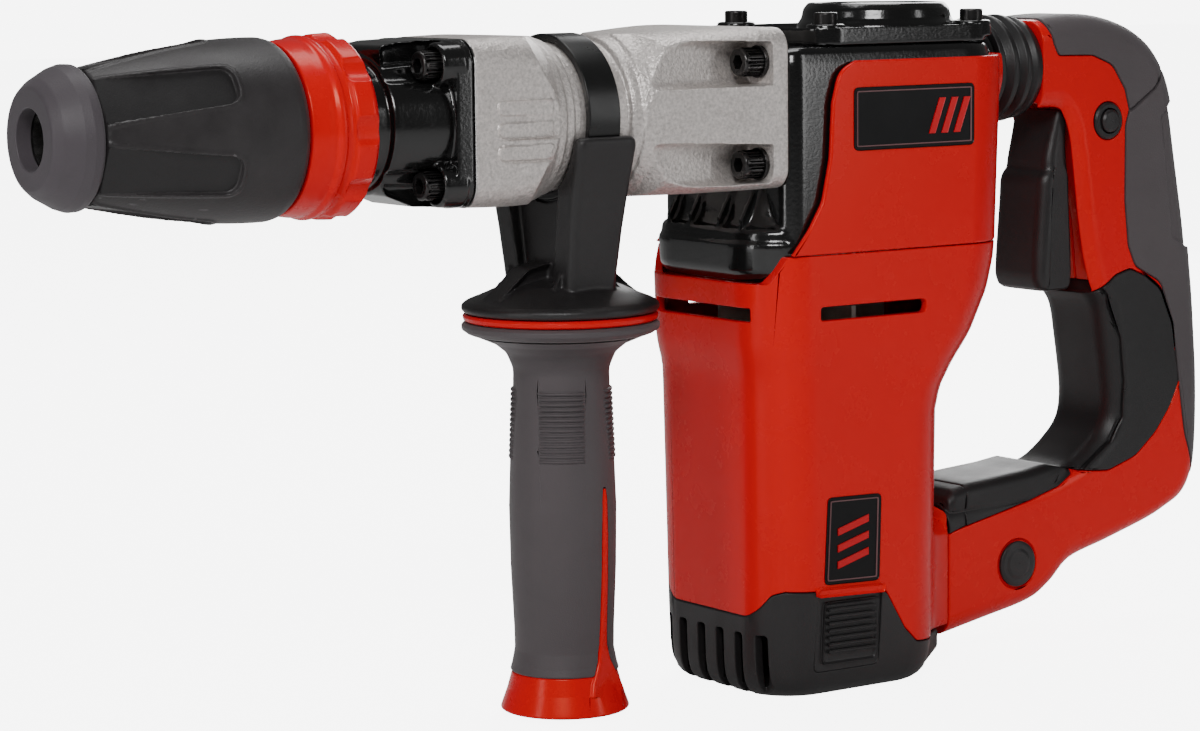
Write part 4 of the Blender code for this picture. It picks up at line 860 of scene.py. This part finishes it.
def saddle():
    levels = ((134.0, 9.0, 18.5), (146.0, 9.5, 20.3), (160.0, 10.2, 22.5), (175, 10.9, 25.8), (186.6, 11.5, 28.7),
              (188.6, 11.3, 28.8), (189.6, 10.6, 28.2), (190.0, 9.6, 27.4))
    body = loft("bracket_saddle", [(z, rounded_rectangle(NECK_X - hx, NECK_X + hx, -hy, hy, 2.6, 6, 2))
                                   for z, hx, hy in levels])
    cut(body, turned("throat", [(-125, 0), (-125, 26.2), (-105.4, 26.2), (-105.4, 27.4), (-92.6, 27.4), (-92.6, 26.2),
                                (-73, 26.2), (-73, 0)], steps=96))
    # The web is recessed between the two towers, front and rear.
    for side in (-1, 1):
        low, high = sorted((NECK_X + side * 6.4, NECK_X + side * 20))
        web = soften([(-9.0, 140, 2), (9.0, 140, 2), (15.4, 176, 2), (-15.4, 176, 2)], 0, 5)
        cut(body, slab("web_recess", web, low, high, "X"))
    disc = turned("disc", [(132.5, 0), (132.5, 31.4, 0.5), (133.5, 32.3, 0.8), (135.0, 32.2, 0.8), (136.2, 30.6, 1.5),
                           (138.0, 26.0, 6), (141.5, 18.0, 6), (143.2, 10, 3), (143.2, 0)], "Z", (NECK_X, 0), 128,
                  fillet=0.5)
    join(body, disc)
    for side in (-1, 1):
        fin = soften([(side * 3.0, 138), (side * 30.2, 135.2, 1), (side * 22.5, 141.2, 5), (side * 15.0, 147.4, 6),
                      (side * 8.6, 148.6, 3), (side * 3.0, 148.6)], 0, 6)
        join(body, slab("gusset", [(NECK_X + u, z) for u, z in fin], -5.0, 5.0, "Y", 2.2, 5))
        foot = [(NECK_X + u, z) for u, z in [(-13.5, 139), (13.5, 139), (9.6, 146.5), (-9.6, 146.5)]]
        join(body, slab("foot_fin", foot, *span(side, 13.0, 15.6), "Y", 0.6, 3))
    cut(body, block("stirrup_pocket", (NECK_X - 5.4, -8.4, 151.6), (NECK_X + 5.4, 8.4, 175)),
        drill(120, 160, 4.4, "Z", (NECK_X, 0), 40))
    finished(body, PLASTIC_BLACK, "side_clamp", ["clamp_bracket"], skin=(0.45, 6, 0.45))


def grip():
    at = (NECK_X, 0)
    stripe_angle = math.radians(-72)
    core = turned("grip_inner", [
        (132.2, 4.4), (132.2, 31.2, 0.4), (131.4, 31.9, 0.4), (130.2, 31.6, 0.4), (129.7, 31.0), (129.7, 11.4),
        (16.0, 11.4), (15.6, 15.9, 0.5), (13.9, 17.4, 0.8), (8.5, 18.9, 3), (3.2, 20.8, 1.5), (2.0, 21.2, 1.0),
        (1.5, 20.4, 0.6), (1.5, 4.4)], "Z", at, 128, fillet=0.3)
    spine = loft("spine", [(z, rounded_rectangle(10, r, -w, w, min(w, 1.0) * 0.9, 5, 2))
                           for z, r, w in ((8.0, 18.6, 8.5), (12.0, 17.75, 7.2), (15.0, 17.4, 5.2), (19.0, 17.0, 3.0),
                                           (24.0, 16.6, 1.9), (30.0, 16.9, 1.55), (45.0, 17.6, 1.4), (60.0, 17.95, 1.3),
                                           (72.0, 17.9, 1.05), (75.5, 17.6, 0.5))])
    spine.data.transform(Matrix.Translation((NECK_X * MM, 0, 0)))
    turn_about(spine, stripe_angle, (NECK_X, 0, 0), "Z")
    join(core, spine)
    finished(core, RED, "side_grip", ["grip_core"], edge=0.35, segments=2, angle=35)
    profile = [(129.4, 11.8), (129.4, 31.3, 0.6), (128.5, 32.3, 0.7), (127.0, 32.2, 0.9), (125.7, 30.4, 1.2),
               (124.3, 26.6, 3), (122.2, 21.6, 5), (119.2, 17.9, 5), (114.0, 15.7, 8), (101.8, 15.9, 20),
               (88.6, 16.9, 20), (68.8, 17.6, 20), (49.0, 17.3, 20), (28.3, 16.4, 10), (21.7, 16.3, 5), (17.0, 17.2, 3),
               (14.6, 17.9, 0.7), (14.2, 17.0, 0.4), (16.3, 15.0, 0.4), (16.3, 11.8)]
    rubber = turned("grip_sleeve", profile, "Z", at, 144, fillet=0.4, arc=6)
    groove = turned("groove", [(125.2, 23.2), (125.2, 40), (124.6, 40), (124.6, 23.2)], "Z", at, 96)
    cut(rubber, groove)
    slit = loft("slit", [(z, rounded_rectangle(5, 24, -w, w, 0.5, 4, 1))
                         for z, w in ((10.0, 8.6), (12.0, 7.5), (15.0, 5.5), (19.0, 3.3), (24.0, 2.2), (30.0, 1.85),
                                      (45.0, 1.7), (60.0, 1.6), (72.0, 1.3), (76.0, 0.7))])
    slit.data.transform(Matrix.Translation((NECK_X * MM, 0, 0)))
    cut(rubber, turn_about(slit, stripe_angle, (NECK_X, 0, 0), "Z"))
    # Fine ribs on four faces of the grip's upper half
    for centre in (-124, -36, 52, 140):
        for i in range(14):
            z = 85.2 + 1.68 * i
            join(rubber, arc_rib("rib", z, 1.0, 16.95 - 0.041 * (z - 85.2) + 0.55, 14.2, math.radians(centre),
                                 math.radians(34), at))
    finished(rubber, RUBBER_GREY, "side_grip", ["grip_rubber"], edge=0.3, segments=2, angle=35)


def arc_rib(name, z, height, outer, inner, centre, half, at, steps=14):
    """A short rounded rib that follows a round grip through an angle."""
    points, faces = [], []
    for k in range(steps + 1):
        angle = centre - half + 2 * half * k / steps
        ease = min(1.0, min(k, steps - k) / 2 + 0.1)
        tip = inner + (outer - inner) * ease
        for r, dz in ((inner, -height / 2), (tip - 0.25, -height / 2), (tip, -height / 4), (tip, height / 4),
                      (tip - 0.25, height / 2), (inner, height / 2)):
            points.append((at[0] + r * math.cos(angle), at[1] + r * math.sin(angle), z + dz))
    for k in range(steps):
        for i in range(6):
            j = (i + 1) % 6
            faces.append((k * 6 + i, k * 6 + j, (k + 1) * 6 + j, (k + 1) * 6 + i))
    faces += [tuple(range(6)), tuple(steps * 6 + i for i in range(6))]
    return solid(name, points, faces)


# ---------------------------------------------------------------- rear handle

# Pairs of points on the handle's outer and inner edge, from the top end round to the foot.
HANDLE_PAIRS = [
    (94.5, 221.8, 94.5, 190.0), (104, 223.3, 104, 189.6), (121, 223.3, 106.5, 186.5), (137, 219.4, 107.8, 183),
    (149, 212.2, 108.9, 178.5), (156.4, 202.0, 109.8, 172), (160.4, 190, 110.7, 165), (163.6, 173, 112.6, 151),
    (168.0, 149, 115.3, 137), (170.0, 134, 119.0, 126.0), (171.6, 121, 124.2, 118.5), (172.9, 106, 126.9, 105),
    (173.9, 92, 128.8, 93), (174.1, 76, 129.4, 85.5), (173.2, 61, 128.6, 79), (171.0, 52.4, 126.2, 74.6),
    (166.5, 46.6, 122.3, 70.8), (159.0, 42.8, 117.4, 67.0), (150.0, 39.3, 111.4, 63.6), (130, 33.6, 102.6, 61.0),
    (112, 28.6, 95.6, 59.4), (101.5, 20.4, 88.0, 58.2), (92, 15.6, 80.0, 57.4), (72, 11.8, 66.0, 56.2),
    (FOOT_X, 8.2, FOOT_X, 54.6)]
SOFT_LINE = soften([
    (96, 232), (186, 232), (186, 48), (173.0, 48, 1), (165, 70, 20), (161.5, 90, 20), (158.2, 112, 14), (152, 127, 8),
    (139.5, 133.4, 6), (136.0, 141, 6), (134.2, 157, 20), (134.2, 184, 8), (136.0, 189.5, 2), (133.8, 197, 6),
    (127.6, 206.0, 8), (118, 209.6, 6), (102, 209.9, 2), (99.8, 214, 2), (98.0, 220)], 0, 6)
LOWER_LINE = soften([
    (96, 124.8), (113, 122.6, 3), (122, 125, 4), (130, 130.6, 8), (136.8, 132.4, 4), (144, 129.6, 6), (151.5, 124.4, 8),
    (157.6, 111.0, 14), (161.1, 89.7, 6), (157, 81.2, 20), (150, 72.4, 20), (140, 64.4, 12), (127, 60.4, 8),
    (114, 61.4, 2), (96, 66.0)], 0, 6)
PAD_LINE = soften([(42, 78), (42, 42), (55.5, 46.2, 1.0), (60, 47.2), (90, 53.2, 10), (103, 56.6, 6), (110.5, 60.6, 1),
                   (106.0, 78)], 0, 6)
CORE_LINE = [
    (97, 194), (97, 204), (122, 204), (136, 203), (150, 196), (154, 186), (158, 165), (162, 140), (165, 118),
    (167, 90), (166, 50), (130, 40), (130, 60), (134, 74), (136, 86), (135, 98), (132, 118), (127, 130),
    (124, 145), (122, 165), (118, 186), (112, 194)]


def handle_blank(name, radius, proud=0.0, depth=HANDLE_HALF, steps=6):
    """Skin the handle between its edge pairs, with corners of the given radius round its section."""
    rows = rows_between([(i, *pair) for i, pair in enumerate(HANDLE_PAIRS)], steps)
    points, faces, count = [], [], 0
    for _, xo, zo, xi, zi in rows:
        across = Vector((xo - xi, zo - zi))
        unit = across.normalized()
        half = across.length / 2 + proud
        centre = Vector(((xo + xi) / 2, (zo + zi) / 2))
        section = rounded_rectangle(-half, half, -depth - proud, depth + proud, min(radius, half * 0.8), 9, 2)
        count = len(section)
        points += [(centre.x + unit.x * u, v, centre.y + unit.y * u) for u, v in section]
    for s in range(len(rows) - 1):
        for i in range(count):
            j = (i + 1) % count
            faces.append((s * count + i, s * count + j, (s + 1) * count + j, (s + 1) * count + i))
    faces.append(tuple(range(count)))
    faces.append(tuple((len(rows) - 1) * count + i for i in range(count)))
    return solid(name, points, faces)


def half_shell(name, side):
    shell = handle_blank(name, 8.0)
    low, high = span(side, -30, 0.15)
    cut(shell, block("other_half", (20, low, -20), (200, high, 250)))
    core = slab("core", CORE_LINE, -10.5, 10.5)
    for line in (SOFT_LINE, LOWER_LINE, PAD_LINE):
        room = slab("room", grown(line, 0.3), *span(side, -1.0, 30))
        cut(shell, cut(room, twin(core)))
    bpy.data.objects.remove(core, do_unlink=True)
    trigger_room = soften([(88, 193.0), (112.0, 193.0, 2), (119.4, 166, 20), (123.4, 150, 10), (126.4, 124, 2),
                           (88, 121)], 0, 5)
    cut(shell, slab("trigger_room", trigger_room, -13.6, 13.6),
        block("switch_room", (126.6, -9.4, 141.6), (144.4, 9.4, 174.4)),
        slab("tongue_room", [(40, 18), (83.5, 18), (95, 22), (95, 40), (83.5, 44), (40, 47)], -7.5, 7.5),
        drill(88, 97.2, 11.0, centre=BELLOWS, steps=48),
        drill(-30, 30, 4.3, "Y", PIVOT, 48))
    seat = turned("pin_seat", [(side * 16.2, 0), (side * 16.2, 8.9), (side * 25, 8.9), (side * 25, 0)], "Y", PIVOT, 96)
    cut(shell, seat)
    if side < 0:
        cut(shell, turned("button_hole", [(-25, 0), (-25, 6.8), (-15.6, 6.8), (-15.6, 4.6), (-2.5, 4.6), (-2.5, 0)],
                          "Y", LOCK))
    return shell


def soft_piece(name, line, proud):
    piece = handle_blank(name, 8.6, proud)
    meet(piece, slab("area", line, -30, 30))
    cut(piece, slab("core", grown(CORE_LINE, 0.3), -10.9, 10.9),
        drill(88, 97.2, 11.0, centre=BELLOWS, steps=48))
    return piece


def sunk(piece, depth, *tools):
    """Cut the tools into a handle piece, no deeper than the given depth under its surface."""
    for tool in tools:
        cut(piece, cut(tool, handle_blank("limit", 8.6, -depth)))
    return piece


def rear_handle():
    for name, side, cad in (("handle_shell_left", -1, "handle_left"), ("handle_shell_right", 1, "handle_right")):
        finished(half_shell(name, side), RED, "rear_handle", [cad], edge=0.55, segments=3, angle=33)
    soft = soft_piece("back_grip", SOFT_LINE, 0.35)
    seam = [(131.0, 187.2), (131.0, 188.3), (137.4, 190.6), (147.6, 197.2), (153.2, 203.6), (164, 211.5),
            (164.6, 210.7), (154.0, 202.8), (148.3, 196.4), (137.8, 189.6)]
    sunk(soft, 0.9, slab("seam", seam, -40, 40))
    for side in (-1, 1):
        panel = soften([(150.8, 186.4, 2), (153.6, 171.0, 30), (157.4, 142.6, 1.5), (164.5, 139.0, 1.5), (178, 137),
                        (176, 195), (156.0, 191.0, 2)], 0, 5)
        sunk(soft, 0.6, slab("inset", panel, *span(side, 9.0, 30)))
    finished(soft, RUBBER_GREY, "rear_handle", ["soft_grip"], edge=0.5, segments=3, angle=33)
    lower = soft_piece("inner_grip", LOWER_LINE, 0.3)
    parting = [(118.6, 130), (120.0, 130), (126.2, 124), (132.6, 108.0), (134.6, 92.0), (134.0, 79.0), (128.6, 70.4),
               (118.0, 63.0), (114.0, 60.0), (113.2, 61.0), (117.4, 63.8), (127.9, 71.0), (133.2, 79.3), (133.8, 92.0),
               (131.8, 107.8), (125.5, 123.4)]
    sunk(lower, 0.5, slab("parting", parting, -40, 40))
    finished(lower, GRIP_BLACK, "rear_handle", ["lower_grip"], edge=0.6, segments=3, angle=33)
    bridge_pad()
    for side, label in ((-1, "left"), (1, "right")):
        cap = turned(f"pivot_cap_{label}", [(side * 16.3, 0), (side * 16.3, 8.1), (side * 17.5, 8.1, 0.5),
                                            (side * 17.9, 6.9, 0.4), (side * 17.7, 5.4, 0.4), (side * 18.1, 4.4, 2),
                                            (side * 18.2, 0)], "Y", PIVOT, 96, fillet=0.5)
        finished(cap, PLASTIC_BLACK, "rear_handle", ["pivot_pin"] if side < 0 else ())
    pin = turned("pivot_rod", [(-16.6, 0), (-16.6, 3.9), (16.6, 3.9), (16.6, 0)], "Y", PIVOT, 48)
    finished(pin, STEEL, "rear_handle")
    button = turned("lock_pin", [(-19.4, 0), (-19.3, 3.2, 0.5), (-18.4, 4.1, 0.7), (-8.0, 4.1), (-8.0, 0)], "Y", LOCK,
                    64, fillet=0.4)
    finished(button, PLASTIC_BLACK, "lock_button", ["lock_button"])
    ring = turned("lock_ring", [(-17.9, 4.5), (-17.9, 5.9, 0.5), (-17.0, 6.6, 0.3), (-15.7, 6.6), (-15.7, 4.5)], "Y",
                  LOCK, fillet=0.3)
    finished(ring, GRIP_BLACK, "rear_handle")
    trigger()
    bellows()


def bridge_pad():
    """A crowned pad on the bridge, with its rounded front end set against the motor foot."""
    pad = soft_piece("bridge_cushion", PAD_LINE, 0.3)
    rows = [(52.4, 14.2, 50.5, 55.2, 2.2), (53.4, 15.4, 50.2, 57.6, 3.2), (56.0, 16.2, 50.0, 59.8, 4.2),
            (64.0, 16.6, 50.0, 61.6, 4.8), (76.0, 16.6, 50.0, 62.6, 4.8), (90.0, 16.4, 51.0, 63.6, 4.8),
            (101.0, 16.0, 53.0, 65.0, 4.6), (108.0, 15.0, 55.0, 65.6, 3.6), (111.0, 13.6, 57.0, 64.8, 2.6)]
    crown = loft("crown", [(x, rounded_rectangle(-half, half, low, high, r, 10, 2))
                           for x, half, low, high, r in rows_between(rows, 4)], "X")
    cut(crown, slab("core", grown(CORE_LINE, 0.3), -10.9, 10.9))
    cut(crown, slab("lower_area", grown(LOWER_LINE, 0.35), -30, 30))
    join(pad, crown)
    groove = cut(slab("end_groove", [(58.6, 40), (59.2, 40), (61.8, 70), (61.2, 70)], -30, 30),
                 block("groove_limit", (50, -15.9, 30), (70, 15.9, 60.2)))
    cut(pad, groove)
    finished(pad, GRIP_BLACK, "rear_handle", ["bridge_pad"], edge=0.45, segments=3, angle=33)


def trigger():
    """Waisted upper part, a ridge, and a broad paddle below it with a narrower front strip."""
    rows = [(126.0, 101.6, 111.6, 9.6, 2.5), (126.4, 99.8, 112.8, 11.4, 3.2), (127.6, 98.0, 113.7, 12.4, 3.8),
            (130.5, 96.8, 114.0, 12.9, 4.2), (134, 96.6, 114.1, 13, 4.4), (146, 97.3, 113.7, 13, 4.6),
            (158, 98.3, 113.0, 13, 4.6), (164.5, 98.8, 112.7, 13, 4.4), (167.0, 99.6, 112.5, 12.8, 4.2),
            (169.4, 101.2, 112.3, 12.4, 4.2), (173, 101.6, 112.1, 12.0, 4.0), (180, 103.4, 111.6, 11.8, 3.4),
            (186, 105.2, 111.2, 11.8, 2.4), (190.2, 106.4, 110.9, 11.6, 1.9)]
    lever = loft("trigger_lever", [(z, rounded_rectangle(front, back, -half, half, r, 9, 2))
                                   for z, front, back, half, r in rows_between(rows, 4)])
    for side in (-1, 1):
        step = soften([(110, 192), (106.6, 184, 6), (105.4, 172, 6), (103.4, 165, 6), (102.6, 150, 20), (101.8, 122),
                       (125, 122), (125, 192)], 0, 6)
        cut(lever, slab("step", step, *span(side, 12.2, 20)))
    finished(lever, PLASTIC_BLACK, "trigger", ["trigger"], edge=0.5, segments=3, angle=30)


def bellows():
    """Folded rubber sleeve between the crankcase neck and the handle's top end."""
    ribs = [(74.3, 15.5), (74.3, 18.2, 0.6), (76.2, 18.4, 0.8), (78.0, 15.8, 0.6), (80.2, 18.7, 0.9), (82.0, 18.8, 0.9),
            (84.0, 16.0, 0.6), (86.0, 18.8, 0.9), (87.8, 18.8, 0.9), (89.6, 16.2, 0.6), (91.4, 18.2, 0.9),
            (94.2, 17.4, 0.4), (94.2, 14.4), (84.4, 13.2), (76, 15.2)]
    sleeve = turned("rubber_bellows", ribs, centre=BELLOWS, steps=96, fillet=0.4, arc=5)
    sleeve.data.materials.append(GRIP_BLACK)
    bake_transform(sleeve)
    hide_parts("bellows")


# ---------------------------------------------------------------- inner nodes kept from the CAD model

INNER = {
    "tool_spindle": STEEL, "beat_piece": BOLT, "striker": STEEL, "piston": STEEL, "wrist_pin": STEEL,
    "connecting_rod": STEEL, "cylinder": STEEL, "crank_gear": STEEL, "crank_shaft": STEEL, "crank_bearing": STEEL,
    "upper_bearing": STEEL, "lower_bearing": STEEL, "armature_shaft": STEEL, "clamp_bolt": STEEL,
    "locking_roller_top": BOLT, "locking_roller_bottom": BOLT,
    "stator": BOLT, "armature_core": COPPER, "commutator": COPPER, "cooling_fan": NYLON,
    "brush_left": CARBON, "brush_right": CARBON, "brush_holder_left": BRASS, "brush_holder_right": BRASS,
    "piston_ring": GRIP_BLACK, "striker_ring": GRIP_BLACK, "switch_body": PLASTIC_BLACK,
}


def coil(name, start, end, radius, wire, turns, height):
    """A coil spring along X with closed ends, as a tube of round wire."""
    points, faces, ring = [], [], 8
    steps = int(28 * turns)
    for k in range(steps + 1):
        t = k / steps
        angle = 2 * math.pi * turns * t
        ease = min(max((t - 0.08) / 0.84, 0.0), 1.0)
        x = start + (end - start) * (0.06 * t + 0.94 * ease)
        outward = Vector((0, math.cos(angle), math.sin(angle)))
        centre = Vector((x, 0, height)) + outward * radius
        for i in range(ring):
            turn = 2 * math.pi * i / ring
            points.append(tuple(centre + outward * wire * math.cos(turn) + Vector((wire * math.sin(turn), 0, 0))))
    for k in range(steps):
        for i in range(ring):
            j = (i + 1) % ring
            faces.append((k * ring + i, k * ring + j, (k + 1) * ring + j, (k + 1) * ring + i))
    faces += [tuple(range(ring)), tuple(steps * ring + i for i in range(ring))]
    return solid(name, points, faces)


def springs():
    """Coil springs, at one fixed length, between the two bodies they push apart."""
    for name, body_a, body_b, start, end, radius, wire, turns, height in (
            ("sleeve_spring", "lock_sleeve", "tool_holder", -217.5, -198.2, 18.0, 0.9, 3.5, AXIS_Z),
            ("handle_spring", "housing", "rear_handle", 69.2, 95.2, 8.8, 1.1, 4.5, 205.5)):
        made = coil(name + "_coil", start, end, radius, wire, turns, height)
        made.data.materials.append(STEEL)
        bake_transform(made)
        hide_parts(name)


def inner_nodes():
    for name, material in INNER.items():
        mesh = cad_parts[name].data
        mesh.materials.clear()
        mesh.materials.append(material)


# ---------------------------------------------------------------- stage

# Name, place, what it points at, width and height in metres, and watts.
LAMPS = (
    ("key", (-0.95, -1.05, 1.05), (0, 0, 0.13), (0.6, 0.4), 14),
    ("side_panel", (0.85, -1.30, 0.50), (0.03, 0, 0.14), (0.22, 0.9), 2.6),
    ("front_fill", (-1.5, -0.15, 0.40), (-0.1, 0, 0.15), (0.25, 1.0), 4.0),
    ("top", (0.1, 0.25, 1.5), (0, 0, 0.1), (1.0, 0.6), 9),
    ("rear_rim", (1.1, 0.9, 0.7), (0.1, 0, 0.15), (0.6, 0.8), 8),
)
# Strengths of the world and the floor, for the light they give and as the camera sees them.
WORLD_GLOW = (0.10, 7.0)
FLOOR_GLOW = (0.0, 6.5)
FLOOR_SIZE = 6.0
FLOOR_DROP = 0.0005

# The camera fitted to the photograph: angles in degrees, place in metres.
CAMERA_ANGLES = (-34.741, 7.076, -0.591)
CAMERA_PLACE = (-0.7237, -0.9230, 0.2527)
CAMERA_LENS = 103.61


def seen_by_camera(tree, otherwise, directly):
    """A strength that is one value straight from the camera and another for the light on the object."""
    path = tree.nodes.new("ShaderNodeLightPath")
    return ramp(tree, path.outputs["Is Camera Ray"], otherwise, directly, 0, 1)


def stage():
    world = bpy.data.worlds.new("studio")
    world.use_nodes = True
    background = world.node_tree.nodes["Background"]
    background.inputs["Color"].default_value = (1, 1, 1, 1)
    strength = seen_by_camera(world.node_tree, *WORLD_GLOW)
    world.node_tree.links.new(strength, background.inputs["Strength"])
    bpy.context.scene.world = world
    mesh = bpy.data.meshes.new("floor")
    corners = [(x * FLOOR_SIZE, y * FLOOR_SIZE, 0) for x, y in ((-1, -1), (1, -1), (1, 1), (-1, 1))]
    mesh.from_pydata(corners, [], [(0, 1, 2, 3)])
    floor = bpy.data.objects.new("floor", mesh)
    floor.location.z = -FLOOR_DROP
    bpy.context.scene.collection.objects.link(floor)
    material = surface("pale_floor", (0.80, 0.80, 0.80), 0.6, vary=0.01, grain=60, bump=0.01)
    shader = material.node_tree.nodes["Principled BSDF"]
    shader.inputs["Emission Color"].default_value = (1, 1, 1, 1)
    glow = seen_by_camera(material.node_tree, *FLOOR_GLOW)
    material.node_tree.links.new(glow, shader.inputs["Emission Strength"])
    mesh.materials.append(material)

    for name, where, target, size, power in LAMPS:
        lamp = bpy.data.lights.new(name, "AREA")
        lamp.shape = "RECTANGLE"
        lamp.size, lamp.size_y = size
        lamp.energy = power
        obj = bpy.data.objects.new(name, lamp)
        obj.location = where
        obj.rotation_euler = (Vector(where) - Vector(target)).to_track_quat("Z", "Y").to_euler()
        bpy.context.scene.collection.objects.link(obj)


def camera():
    azimuth, elevation, roll = (math.radians(a) for a in CAMERA_ANGLES)
    back = Vector((math.sin(azimuth) * math.cos(elevation), -math.cos(azimuth) * math.cos(elevation),
                   math.sin(elevation)))
    right = Vector((math.cos(azimuth), math.sin(azimuth), 0))
    up = back.cross(right)
    c, s = math.cos(roll), math.sin(roll)
    right, up = right * c + up * s, up * c - right * s
    lens = bpy.data.cameras.new("camera")
    lens.sensor_width = 36.0
    lens.lens = CAMERA_LENS
    lens.clip_end = 50
    obj = bpy.data.objects.new("camera", lens)
    turn = Matrix((right, up, back)).transposed()
    obj.matrix_world = Matrix.Translation(CAMERA_PLACE) @ turn.to_4x4()
    bpy.context.scene.collection.objects.link(obj)
    bpy.context.scene.camera = obj


for make in (dust_cap, cone_sleeve, red_ring, front_flange, bolts, barrel, motor_shell, base_tray, cover_shell, badges,
             crankcase, lid, side_handle, rear_handle, springs, inner_nodes, stage, camera):
    make()
